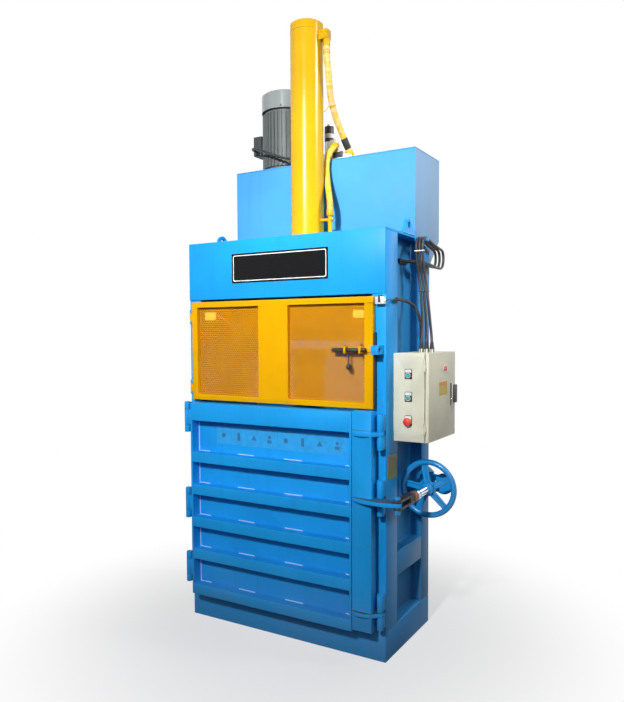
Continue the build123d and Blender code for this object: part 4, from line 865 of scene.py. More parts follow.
def plate(bm, x, y, z, corner, edge=0.0002):
    """A thin plate between limits, with round corners about its thinnest direction."""
    spans = [high - low for low, high in (x, y, z)]
    thin = spans.index(min(spans))
    posts = [
        line
        for line in edges_of(cube(bm, x, y, z))
        if abs((line.verts[0].co - line.verts[1].co)[thin]) > spans[thin] / 2
    ]
    bevelled(bm, posts, corner, CORNER_STEPS)
    if edge:
        rims = [line for line in bm.edges if line.calc_face_angle(0.0) > RIM_ANGLE and within(line, x, y, z)]
        bevelled(bm, rims, edge, 1)


def within(edge, x, y, z, gap=1e-5):
    """Whether an edge lies between limits."""
    return all(
        low - gap <= vert.co[axis] <= high + gap
        for vert in edge.verts
        for axis, (low, high) in enumerate((x, y, z))
    )


def plate_piece(name, shape, carrier, finish):
    """A finished piece of one plate: its limits on each axis, its corner and perhaps its edge."""
    bm = bmesh.new()
    plate(bm, *shape)
    mesh_piece(name, bm, carrier, finish)


def turned_piece(name, profile, matrix, carrier, finish, steps=48, replaces=()):
    """A finished piece of one turned profile."""
    bm = bmesh.new()
    turned(bm, profile, matrix, steps)
    mesh_piece(name, bm, carrier, finish, replaces=replaces)


def torus(bm, matrix, radius, section, steps=72, segments=20):
    """A ring of round section about a matrix's own Z."""
    side = matrix @ Matrix.Translation((radius, 0.0, 0.0)) @ Matrix.Rotation(math.pi / 2, 4, "X")
    circle = bmesh.ops.create_circle(bm, segments=segments, radius=section, matrix=side)["verts"]
    spun(bm, circle + edges_of(circle), matrix, steps)
    bmesh.ops.recalc_face_normals(bm, faces=bm.faces)


def metres(points):
    """Points of a route given in millimetres."""
    return [Vector(point) * 0.001 for point in points]


def route(name, points, radius=0.0):
    """A smooth line through a cord's route, with a round section."""
    data = bpy.data.curves.new(name, "CURVE")
    data.dimensions = "3D"
    data.resolution_u = 8
    data.bevel_depth = radius
    data.bevel_resolution = 5
    data.use_fill_caps = bool(radius)
    spline = data.splines.new("NURBS")
    spline.points.add(len(points) - 1)
    for point, place in zip(spline.points, points):
        point.co = (*place, 1.0)
    spline.order_u = 3
    spline.use_endpoint_u = True
    return bpy.data.objects.new(name, data)


def line_of(points):
    """Points along a route's smooth line, for what is wrapped or tied round it."""
    guide = route("guide", points)
    mesh = bpy.data.meshes.new_from_object(guide)
    line = [vert.co.copy() for vert in mesh.vertices]
    bpy.data.meshes.remove(mesh)
    bpy.data.objects.remove(guide)
    return line


def cord(name, node, points, radius, finish):
    """A free cord along its route, which stands for a CAD piece."""
    places = metres(points)
    tube = route(f"{name}_looks", places, radius)
    piece = finished(tube, node, finish, replaces=(node,))
    line = line_of(places)


def near(line, place):
    """Two neighbours on a line, where it passes nearest a place."""
    index = min(range(1, len(line) - 1), key=lambda i: (line[i] - Vector(place)).length)
    return line[index], (line[index + 1] - line[index - 1]).normalized()


def band(bm, line, place, radius, length):
    """A short sleeve round a cord, where its line passes nearest a place."""
    centre, along = near(line, place)
    reach = along * length / 2
    rod(bm, centre - reach, centre + reach, radius, segments=28, bevel=radius * 0.06)


def paint_nodes(finish, *names):
    """Give CAD pieces a finish where their shape is already right."""
    for name in names:
        mesh = nodes[name].data
        mesh.materials.clear()
        mesh.materials.append(finishes[finish])


# Operators, one for each group of pieces


# Finishes of the CAD pieces that aren't blue

PAINTED = {
    "yellow": ("feed_door_frame", "feed_screen_left", "feed_screen_right"),
    "press": ("cylinder_barrel", "cylinder_ports", "pressure_pipe", "hose_fittings"),
    "blue_cast": ("handwheel", "lever_bolt"),
    "steel": ("rod_gland", "contactor_plate", "motor_rotor", "box_door_hinge_pins"),
    "rod": ("piston_rod", "lock_spindle"),
    "dark": ("lock_fork", "slide_bolt"),
    "aluminium": ("valve_stack", "door_switch"),
    "grey": ("motor_housing", "motor_terminal_box", "hydraulic_pump"),
    "pale_grey": ("motor_cowl",),
    "hose": ("upper_hose",),
    "hose_low": ("lower_hose",),
    "cable": ("control_cables", "motor_cable", "switch_conduit", "switch_cable"),
    "beige": ("control_box_shell", "control_box_door"),
    "rubber": ("box_door_seal",),
    "plastic": ("button_housings", "box_door_handle"),
    "green": ("upper_button", "lower_button"),
    "red": ("emergency_stop",),
    "lens": ("door_lamp",),
}


class BALER_OT_finishes(bpy.types.Operator):
    """Make the finishes and paint every CAD piece"""

    bl_idname = "baler.finishes"
    bl_label = "Finishes"

    def execute(self, context):
        make_finishes()
        paint_nodes("blue", *nodes)
        for finish, names in PAINTED.items():
            paint_nodes(finish, *names)
        return {"FINISHED"}


# Rounding of each CAD piece that keeps its shape: finish, radius in metres

ROUNDED = {
    "base_frame": ("blue", 0.003),
    "front_post_left": ("blue", 0.003),
    "front_post_right": ("blue", 0.003),
    "rear_post_left": ("blue_side", 0.004),
    "rear_post_right": ("blue_side", 0.004),
    "side_wall_left": ("blue_side", 0.0015),
    "side_wall_right": ("blue_side", 0.0015),
    "rear_wall": ("blue_rear", 0.0015),
    "header_front_plate": ("blue", 0.0015),
    "header_top_plate": ("blue", 0.002),
    "bale_door_ribs": ("blue", 0.004),
    "bale_door_skin": ("blue", 0.0015),
    "clamp_bar": ("blue_clamp", 0.003),
    "spindle_bracket": ("blue", 0.002),
    "lever_bolt": ("blue_cast", 0.0015),
    "tank_shell": ("blue_tank", 0.003),
    "tank_lid": ("blue_tank", 0.0015),
    "cylinder_crosshead": ("blue", 0.002),
    "platen": ("blue_platen", 0.002),
    "feed_door_frame": ("yellow", 0.0022),
    "cylinder_ports": ("press", 0.0018),
    "lock_fork": ("dark", 0.0015),
    "control_box_shell": ("beige", 0.002),
    "control_box_door": ("beige", 0.003),
    "valve_stack": ("aluminium", 0.001),
    "motor_terminal_box": ("dark_grey", 0.002),
    "button_housings": ("plastic", 0.0006),
    "hose_fittings": ("press", 0.0012),
    "slide_bolt": ("dark", 0.0006),
    "door_switch": ("aluminium", 0.0012),
}

# Faces of the CAD pieces that small parts are set on

DOOR_SKIN = -0.313  # front face of the bale door's skin
FEED_DOOR = -0.315  # front face of the feed door
POST_SIDE = 0.600  # outer face of the right front post
SHEET_SIDE = 0.5355  # outer face of the side walls' sheets
CYLINDER = 0.090  # radius of the press cylinder
BEAD = 0.0005  # how far the beads lie outside their bay
DOOR_BEAD, END_BEAD = 0.0042, 0.0035
openings = frame["record"]["physics"]["openings"]
bays = [hollow["box_m"] for hollow in openings if hollow["name"].startswith("rib_bay")]


class BALER_OT_plates(bpy.types.Operator):
    """Round the corners of the welded, folded and machined parts"""

    bl_idname = "baler.plates"
    bl_label = "Rounded parts"

    def execute(self, context):
        for node, (finish, width) in ROUNDED.items():
            softened(node, finish, width)
        return {"FINISHED"}


class BALER_OT_welds(bpy.types.Operator):
    """Lay the weld beads of the door, the header, the side walls and the spindle bracket"""

    bl_idname = "baler.welds"
    bl_label = "Welds"

    def execute(self, context):
        self.door()
        self.header()
        self.sides()
        _, (front, back), heights = limits("spindle_bracket")
        bm = bmesh.new()
        for height in heights:
            weld(bm, (POST_SIDE + 0.0005, front + 0.012, height), (POST_SIDE + 0.0005, back - 0.004, height))
        welded("bracket_welds", bm, "spindle_bracket")
        return {"FINISHED"}

    @staticmethod
    def door():
        """Beads round each bay between the ribs, with gaps along its long sides."""
        depth = DOOR_SKIN - 0.001
        bm = bmesh.new()
        for (x0, _, z0), (x1, _, z1) in bays:
            low, high, left, right = z0 - BEAD, z1 + BEAD, x0 - BEAD, x1 + BEAD
            for start, end in ((left, left + 0.075), (-0.256, -0.151), (0.042, 0.150), (right - 0.05, right)):
                for height in (low, high):
                    weld(bm, (start, depth, height), (end, depth, height), DOOR_BEAD)
            for side, radius in ((left, DOOR_BEAD), (right, END_BEAD)):
                weld(bm, (side, depth, low), (side, depth, high), radius)
        welded("door_welds", bm, "bale_door_ribs", "weld")

    @staticmethod
    def header():
        """Beads at the header's ends, round the cylinder's foot and along the tank's foot."""
        bm = bmesh.new()
        top = limits("header_front_plate")[2][1]
        for x in (-0.585, -POST_SIDE, 0.585, POST_SIDE):
            weld(bm, (x, -0.080, top), (x, 0.078, top), 0.004)
        torus(bm, Matrix.Translation((0.0, 0.0, top)), CYLINDER + 0.0005, 0.0045, 90, 10)
        tank_front = limits("tank_shell")[1][0]
        weld(bm, (-0.575, tank_front, top + 0.001), (0.575, tank_front, top + 0.001), 0.0045, 0.010)
        welded("header_welds", bm, "header_top_plate")

    @staticmethod
    def sides():
        """Beads along the posts and the cross beams of both side walls."""
        for name, sheet in (("side_wall_left", -SHEET_SIDE), ("side_wall_right", SHEET_SIDE)):
            bm = bmesh.new()
            for depth in (-0.1475, 0.1765):
                for start, end in ((0.152, 0.385), (0.509, 1.178), (1.302, 1.955), (1.985, 2.086)):
                    weld(bm, (sheet, depth, start), (sheet, depth, end), pitch=0.010)
            for height in (0.3865, 0.5075):
                weld(bm, (sheet, -0.146, height), (sheet, 0.175, height), pitch=0.010)
            welded(f"{name}_welds", bm, name)


class BALER_OT_sign(bpy.types.Operator):
    """Make the bare sign on the header and the plain fields on the doors and the side"""

    bl_idname = "baler.sign"
    bl_label = "Sign and fields"

    def execute(self, context):
        self.sign()
        self.strip()
        field = ((POST_SIDE - 0.0005, POST_SIDE + 0.0007), (-0.262, -0.153), (0.890, 1.010), 0.004)
        plate_piece("side_field", field, "front_post_right", "olive")
        bm = bmesh.new()
        for x, z in (((-0.488, -0.413), (1.676, 1.719)), ((0.430, 0.488), (1.675, 1.712))):
            plate(bm, x, (-0.2942, -0.2932), z, 0.003)
        mesh_piece("screen_fields", bm, "feed_screen_left", "pale_yellow")
        return {"FINISHED"}

    @staticmethod
    def sign():
        """A dark plate with a pale line near its edge, made of three plates on each other."""
        face = limits("header_front_plate")[1][0]
        left, right, low, high = -0.301, 0.291, 1.871, 2.027
        for name, inset, proud, corner, finish, slot in (
            ("sign_plate", 0.0, 0.0020, 0.004, "sign", "black_plastic"),
            ("sign_line", 0.009, 0.0023, 0.010, "line", "valve_aluminium"),
            ("sign_field", 0.0135, 0.0026, 0.008, "sign", "black_plastic"),
        ):
            x, z = (left + inset, right - inset), (low + inset, high - inset)
            plate_piece(name, (x, (face - proud, face), z, corner), "header_front_plate", finish)

    @staticmethod
    def strip():
        """Eight faded fields with plain shapes, along the bay under the door's top rail."""
        count, left, pitch, height = 8, -0.402, 0.1005, 1.048
        skin, front = DOOR_SKIN, DOOR_SKIN - 0.0005
        reach = pitch / 2 - 0.0015
        fields, shapes = bmesh.new(), bmesh.new()

        def disc(x, z, radius, segments):
            rod(shapes, (x, skin, z), (x, front, z), radius, segments=segments)

        def tile(x, low, high):
            plate(shapes, x, (front, skin), (height + low, height + high), 0.003, 0.0)

        for index in range(count):
            x = left + pitch * (index + 0.5)
            wide, tall = (x - reach, x + reach), (height - reach, height + reach)
            plate(fields, wide, (skin - 0.0002, skin), tall, 0.004, 0.0)
            if index % 4 == 0:
                disc(x, height, 0.013, 32)
            elif index % 4 == 1:
                tile((x - 0.008, x + 0.010), -0.022, 0.020)
            elif index % 4 == 2:
                disc(x, height - 0.004, 0.019, 3)
            else:
                disc(x, height + 0.010, 0.009, 28)
                tile((x - 0.014, x + 0.012), -0.022, -0.006)
        mesh_piece("strip_fields", fields, "bale_door_skin", "strip")
        mesh_piece("strip_shapes", shapes, "bale_door_skin", "strip_shape")


class BALER_OT_screens(bpy.types.Operator):
    """Fit the punched sheets in the feed door, and add its seam, edge strip and switch band"""

    bl_idname = "baler.screens"
    bl_label = "Screens"

    def execute(self, context):
        for name in ("feed_screen_left", "feed_screen_right"):
            x, (front, _), z = limits(name)
            bm = bmesh.new()
            block(bm, x, (front, front + 0.0015), z)
            mesh_piece(f"{name}_looks", bm, name, "punched", replaces=(name,))
        door_seam = (0.0592, 0.0600), (FEED_DOOR - 0.0002, FEED_DOOR + 0.0002), (1.2385, 1.7735), 0.0
        edge_strip = (0.5485, 0.5545), (-0.312, -0.2852), (1.240, 1.604), 0.001
        switch_band = (0.5730, 0.5850), (-0.3158, -0.2855), (1.7445, 1.7795), 0.0008
        for name, shape, carrier, finish, slot in (
            ("door_seam", door_seam, "feed_door_frame", "seam", None),
            ("edge_strip", edge_strip, "front_post_right", "rubber", "black_rubber"),
            ("switch_band", switch_band, "door_switch", "plastic", "black_plastic"),
        ):
            bm = bmesh.new()
            block(bm, *shape)
            mesh_piece(name, bm, carrier, finish)
        return {"FINISHED"}


# Handwheel and spindle: the hub as (radius, height) points of its front half

HUB = ((0.0125, 0.023), (0.030, 0.023), (0.034, 0.019), (0.038, 0.006), (0.040, 0.0))
FIRST_SPOKE = math.radians(100.0)
SPOKE_START = 0.030  # from the middle of the wheel
RIDGE_AT_HUB, RIDGE_AT_RIM = 0.0125, 0.0105  # half the distance between a spoke's two ridges
SCREW_RADIUS = 0.012
SLEEVE_END = 0.1237  # length of the polished sleeve


class BALER_OT_wheel(bpy.types.Operator):
    """Make the handwheel with its washer, the nut, the polished sleeve and the threaded spindle"""

    bl_idname = "baler.wheel"
    bl_label = "Handwheel"

    def execute(self, context):
        self.wheel(context.scene.wheel_settings)
        self.collar()
        self.spindle()
        back, height = limits("handwheel")[1][1], middle("lock_spindle").z
        self.bar((back, back + 0.002, height, 0.021, 40, 0.0006), "wheel_washer", "handwheel", "dark")
        return {"FINISHED"}

    @staticmethod
    def bar(shape, name, carrier, finish, slot="dark_steel", replaces=()):
        """A round bar along Y, on the handwheel's axis: start, end, height, radius, segments, bevel."""
        start, end, height, radius, segments, bevel = shape
        x = middle("handwheel").x
        bm = bmesh.new()
        rod(bm, (x, start, height), (x, end, height), radius, segments=segments, bevel=bevel)
        mesh_piece(name, bm, carrier, finish, replaces=replaces)

    def wheel(self, settings):
        """The rim, the hub and the spokes."""
        (left, right), _, _ = limits("handwheel")
        centre = middle("handwheel")
        ring = (right - left) / 2 - settings.rim
        bm = bmesh.new()
        torus(bm, facing(centre, FRONT), ring, settings.rim, 96, 24)
        hub = [*HUB, *((radius, -height) for radius, height in reversed(HUB[:-1]))]
        turned(bm, hub, facing(centre, FRONT), 64)
        for index in range(settings.spokes):
            self.spoke(bm, centre, FIRST_SPOKE + index * FULL_TURN / settings.spokes, ring)
        mesh_piece("handwheel_looks", bm, "handwheel", "blue_cast", angle=40.0, replaces=("handwheel",))

    @staticmethod
    def spoke(bm, centre, angle, ring):
        """Two ridges with a thin web between them, and their feet on the rim."""
        along = Vector((math.cos(angle), 0.0, math.sin(angle)))
        across = Vector((-math.sin(angle), 0.0, math.cos(angle)))
        inner, outer = centre + along * SPOKE_START, centre + along * (ring - 0.004)
        turn = Matrix((along, Vector(BACK), across)).transposed().to_4x4()
        size = Matrix.Diagonal((ring - SPOKE_START, 0.0075, 0.025, 1.0))
        web = Matrix.Translation(centre + along * (ring + 0.026) / 2) @ turn @ size
        bmesh.ops.create_cube(bm, size=1.0, matrix=web)
        for side in (across, -across):
            crest = outer + side * RIDGE_AT_RIM
            rod(bm, inner + side * RIDGE_AT_HUB, crest, 0.0062, 0.0052, 18)
            rod(bm, crest - along * 0.014, outer + side * 0.0185, 0.0052, 0.0052, 18)

    def collar(self):
        """The brown nut and the bright sleeve behind it."""
        _, (front, back), (low, high) = limits("thrust_collar")
        radius, split, height = (high - low) / 2, front + 0.034, (low + high) / 2
        ring = (front, split, height, radius, 56, 0.002)
        sleeve = (split, back, height, radius - 0.0015, 56, 0.002)
        node = "thrust_collar"
        self.bar(ring, "collar_ring", node, "brown", None, (node,))
        self.bar(sleeve, "collar_sleeve", node, "plated", None, (node,))

    def spindle(self):
        """The polished sleeve over the screw, the screw's bright nose and the screw."""
        _, (start, end), (low, high) = limits("lock_spindle")
        height, sleeve = (low + high) / 2, (high - low) / 2
        x = middle("handwheel").x
        foot = (x, limits("thrust_collar")[1][1] + 0.0003, height)
        bore = [(SCREW_RADIUS, 0.0), (sleeve - 0.0015, 0.0), (sleeve, 0.0015), (sleeve, 0.1225)]
        bore += [(sleeve - 0.0015, SLEEVE_END), (SCREW_RADIUS, SLEEVE_END)]
        bm = bmesh.new()
        turned(bm, bore, facing(foot, BACK))
        rod(bm, (x, start, height), (x, start + 0.010, height), 0.014, bevel=0.001)
        mesh_piece("spindle_sleeve", bm, "lock_spindle", "plated", replaces=("lock_spindle",))
        screw = (start, end, height, SCREW_RADIUS, 40, 0.0015)
        self.bar(screw, "spindle_screw", "lock_spindle", "thread", replaces=("lock_spindle",))


class BALER_OT_clamp(bpy.types.Operator):
    """Add the lever bolt's nut and the caps of the clamp pins and the hinge pins"""

    bl_idname = "baler.clamp"
    bl_label = "Clamp and hinges"

    def execute(self, context):
        lever, foot = middle("lever_bolt"), limits("lever_bolt")[2][0]
        nut = (lever.x, lever.y, foot + 0.002)
        screws("lever_nut", [nut], DOWN, 0.013, "lever_bolt", "blue_cast")
        for node, radius in (
            ("bale_door_hinge_pins", 0.0145),
            ("clamp_pins", 0.0145),
            ("feed_door_hinge_pins", 0.0085),
        ):
            pin, top = middle(node), limits(node)[2][1]
            cap = [(0.0, 0.0), (radius * 0.86, 0.0), (radius, -0.0016), (radius, -0.0035), (0.0, -0.0035)]
            place = facing((pin.x, pin.y, top + 0.0006), UP)
            turned_piece(f"{node}_cap", cap, place, node, "blue_cast")
        return {"FINISHED"}


class BALER_OT_press(bpy.types.Operator):
    """Dress the press cylinder: cap joint, cap plug and the screws of its ports"""

    bl_idname = "baler.press"
    bl_label = "Press cylinder"

    def execute(self, context):
        top = limits("cylinder_barrel")[2][1]
        inner, outer = CYLINDER - 0.001, CYLINDER + 0.0003
        joint = [(inner, -0.0456), (outer, -0.0454), (outer, -0.0444), (inner, -0.0442)]
        place = Matrix.Translation((0.0, 0.0, top))
        turned_piece("cap_joint", joint, place, "cylinder_barrel", "seam", steps=96)
        screws("cap_plug", [(0.0, 0.0, top)], UP, 0.016, "cylinder_barrel", "yellow_cast", washer=True)
        front = limits("cylinder_ports")[1][0]
        bm = bmesh.new()
        for z in (top - 0.064, top - 0.091):
            for x in (0.104, 0.129):
                hex_bolt(bm, (x, front, z), FRONT, 0.0045, washer=False)
        hex_bolt(bm, (0.121, -0.014, 2.2125), FRONT, 0.0055)
        mesh_piece("port_screws", bm, "cylinder_ports", "yellow_cast")
        return {"FINISHED"}


# Routes of the cords, in millimetres

UPPER_HOSE = (
    (124, 0, 3134), (124, 0, 3072), (131, 6, 3008), (128, 20, 2946), (119, 52, 2874),
    (118, 104, 2792), (127, 150, 2728), (139, 184, 2668), (149, 208, 2626),
)
LOWER_HOSE = (
    (84, 142, 2634), (80, 124, 2618), (74, 106, 2590), (69, 95, 2552), (69, 91, 2505),
    (82, 76, 2455), (102, 50, 2398), (131, 10, 2345), (142, 0, 2300), (142, 0, 2266),
)
HOSE_RADIUS = 0.017


class BALER_OT_hoses(bpy.types.Operator):
    """Run the two taped hoses with their crimps, sleeve and stay"""

    bl_idname = "baler.hoses"
    bl_label = "Hoses"

    def execute(self, context):
        upper, lower = line_of(metres(UPPER_HOSE)), line_of(metres(LOWER_HOSE))
        bm = bmesh.new()
        band(bm, upper, (0.141, 0.189, 2.660), 0.0190, 0.060)
        sleeve = mesh_piece("hose_sleeve", bm, "upper_hose", "rubber")
        bm = bmesh.new()
        for line, x, heights in ((upper, 0.124, (3.112, 3.096)), (lower, 0.142, (2.288, 2.302))):
            for height in heights:
                band(bm, line, (x, 0, height), 0.0186, 0.006)
        mesh_piece("hose_crimps", bm, "hose_fittings", "yellow_cast")
        held = (0.118, 0.075, 2.842)
        clip = near(upper, held)[0] + Vector((-0.012, -0.010, 0.0))
        wire = ((0.088, 0.020, 2.800), (0.099, 0.030, 2.806), clip)
        bm = bmesh.new()
        band(bm, upper, held, 0.0183, 0.008)
        for start, end in zip(wire, wire[1:]):
            rod(bm, start, end, 0.0022, segments=12)
        stay = mesh_piece("hose_stay", bm, "upper_hose", "yellow_cast")
        cord("upper_hose", "upper_hose", UPPER_HOSE, HOSE_RADIUS, "hose")
        cord("lower_hose", "lower_hose", LOWER_HOSE, HOSE_RADIUS, "hose_low")
        return {"FINISHED"}


COIL = (0.019, 0.215)  # axis of the upright coil


class BALER_OT_valves(bpy.types.Operator):
    """Dress the valve stack: coil, plug, label plates and screws"""

    bl_idname = "baler.valves"
    bl_label = "Valves"

    def execute(self, context):
        bm = bmesh.new()
        rod(bm, (*COIL, 2.6905), (*COIL, 2.779), 0.0262, segments=48, bevel=0.003)
        rod(bm, (*COIL, 2.779), (*COIL, 2.7915), 0.0135, segments=40, bevel=0.002)
        block(bm, (0.069, 0.1325), (0.164, 0.1705), (2.587, 2.6165), 0.0015)
        mesh_piece("valve_coil", bm, "valve_stack", "plastic")
        bm = bmesh.new()
        rod(bm, (*COIL, 2.711), (*COIL, 2.736), 0.0266, segments=48, bevel=0.0006)
        mesh_piece("coil_label", bm, "valve_stack", "label")
        label = ((0.053, 0.097), (0.1788, 0.1802), (2.642, 2.682), 0.002)
        plate_piece("valve_label", label, "valve_stack", "label")
        places = [(x, y, 2.602) for x in (0.010, 0.122) for y in (0.182, 0.248)]
        screws("manifold_screws", places, UP, 0.005, "valve_stack", "dark")
        return {"FINISHED"}


class BALER_OT_motor(bpy.types.Operator):
    """Dress the motor: a black ring as painted shade in the gap under the cowl, cowl screws and terminal box
    screws
    """

    bl_idname = "baler.motor"
    bl_label = "Motor"

    def execute(self, context):
        centre, foot = middle("motor_cowl"), limits("motor_cowl")[2][0]
        # a black ring in the gap under the cowl, painted shade of the gap
        joint = [(0.140, -0.004), (0.1466, -0.004), (0.1466, 0.0), (0.140, 0.0)]
        place = Matrix.Translation((centre.x, centre.y, foot))
        turned_piece("cowl_joint", joint, place, "motor_housing", "rubber", 96)
        bm = bmesh.new()
        for index in range(4):
            angle = math.radians(20.0 + 90.0 * index)
            out = Vector((math.cos(angle), math.sin(angle), 0.0))
            hex_bolt(bm, Vector((centre.x, centre.y, foot + 0.012)) + out * 0.1488, out, 0.005)
        mesh_piece("cowl_screws", bm, "motor_cowl", "dark")
        (side, _), _, (low, high) = limits("motor_terminal_box")
        places = [(side, y, z) for y in (0.263, 0.357) for z in (low + 0.010, high - 0.010)]
        screws("terminal_screws", places, LEFT, 0.004, "motor_terminal_box", "steel")
        return {"FINISHED"}


CONTROL_ROUTES = (
    (
        (683, -45, 1521), (683, -45, 1575), (670, 2, 1632), (649, 52, 1712), (630, 86, 1796),
        (618, 90, 1884), (613, 68, 1968), (613, 56, 2062), (613, 92, 2097), (614, 172, 2078),
        (615, 250, 2056), (617, 336, 2042), (617, 328, 1954), (615, 240, 1956), (613, 165, 1966),
        (591, 113, 1969), (543, 88, 1970),
    ),
    (
        (711, -45, 1521), (711, -45, 1575), (692, 2, 1632), (667, 54, 1712), (647, 88, 1796),
        (635, 90, 1884), (630, 68, 1968), (630, 56, 2062), (630, 92, 2097), (631, 182, 2076),
        (633, 262, 2056), (634, 350, 2044), (634, 342, 1952), (632, 252, 1952), (630, 160, 1963),
        (602, 92, 1969), (543, 64, 1970),
    ),
    (
        (739, -45, 1521), (739, -45, 1575), (714, 2, 1634), (686, 56, 1712), (664, 90, 1796),
        (652, 90, 1884), (647, 68, 1968), (647, 56, 2062), (647, 92, 2097), (648, 190, 2074),
        (650, 276, 2056), (651, 364, 2046), (651, 356, 1950), (649, 262, 1946), (647, 150, 1961),
        (616, 70, 1969), (543, 40, 1970),
    ),
)
CONDUIT_ROUTE = (
    (650, 36, 1521), (650, 36, 1570), (642, 62, 1622), (631, 64, 1680), (625, 28, 1727),
    (622, -32, 1750), (620, -98, 1759), (618, -156, 1762), (618, -205, 1762),
)
SWITCH_ROUTE = (
    (606, -300, 1754), (630, -300, 1754), (646, -279, 1757), (638, -251, 1760), (618, -229, 1762),
    (618, -205, 1762),
)
MOTOR_ROUTE = (
    (-500, 239, 2712), (-500, 197, 2712), (-478, 155, 2710), (-434, 129, 2701), (-376, 123, 2678),
    (-316, 125, 2651), (-256, 131, 2626), (-196, 135, 2609), (-136, 127, 2601), (-94, 109, 2563),
    (-80, 104, 2507), (-79, 107, 2419), (-81, 109, 2309), (-80, 111, 2209), (-80, 111, 2116),
)
CABLE_RADIUS = 0.007


class BALER_OT_cables(bpy.types.Operator):
    """Run the control cables, the conduit and the motor cable, with boots, ties and a black block as painted
    shade in the slot
    """

    bl_idname = "baler.cables"
    bl_label = "Cables"

    def execute(self, context):
        for index, points in enumerate(CONTROL_ROUTES, 1):
            start = metres(points)[0]
            foot, neck, tip = (start + Vector((0, 0, rise)) for rise in (-0.0178, 0.004, 0.034))
            bm = bmesh.new()
            rod(bm, foot, neck, 0.0132, segments=6, bevel=0.0008)
            rod(bm, neck, tip, 0.0112, 0.0078, segments=28)
            boot = mesh_piece(f"cable_boot_{index}", bm, "control_cables", "rubber")
            cord(f"control_cable_{index}", "control_cables", points, CABLE_RADIUS, "cable")
        end = metres(CONDUIT_ROUTE)[-1]
        back, front = (end + Vector((0, depth, 0)) for depth in (0.016, -0.004))
        bm = bmesh.new()
        rod(bm, back, front, 0.0098, segments=28, bevel=0.001)
        collar = mesh_piece("conduit_collar", bm, "switch_conduit", "rubber")
        cord("switch_conduit", "switch_conduit", CONDUIT_ROUTE, 0.008, "conduit")
        cord("switch_cable", "switch_cable", SWITCH_ROUTE, 0.0025, "cable")
        cord("motor_cable", "motor_cable", MOTOR_ROUTE, CABLE_RADIUS, "cable")
        self.ties()
        # a black block that fills the side wall's cable slot: painted shade of the hole
        bm = bmesh.new()
        block(bm, (0.529, 0.5435), (0.0195, 0.1085), (1.9545, 1.9825), 0.002)
        mesh_piece("slot_edging", bm, "side_wall_right", "rubber")
        return {"FINISHED"}

    @staticmethod
    def ties():
        """A black and a pale tie round the three cables."""
        reach = 0.0092
        lines = [line_of(metres(points)) for points in CONTROL_ROUTES]
        for name, height, finish in (("cable_tie", 1.814, "plastic"), ("pale_tie", 2.020, "white")):
            rising = [line[: len(line) // 2] for line in lines]
            centres = [min(line, key=lambda place: abs(place.z - height)) for line in rising]
            depths = [centre.y for centre in centres]
            bm = bmesh.new()
            block(
                bm,
                (centres[0].x - reach, centres[-1].x + reach),
                (min(depths) - reach, max(depths) + reach),
                (height - 0.003, height + 0.003),
                0.0012,
            )
            mesh_piece(name, bm, "control_cables", finish)


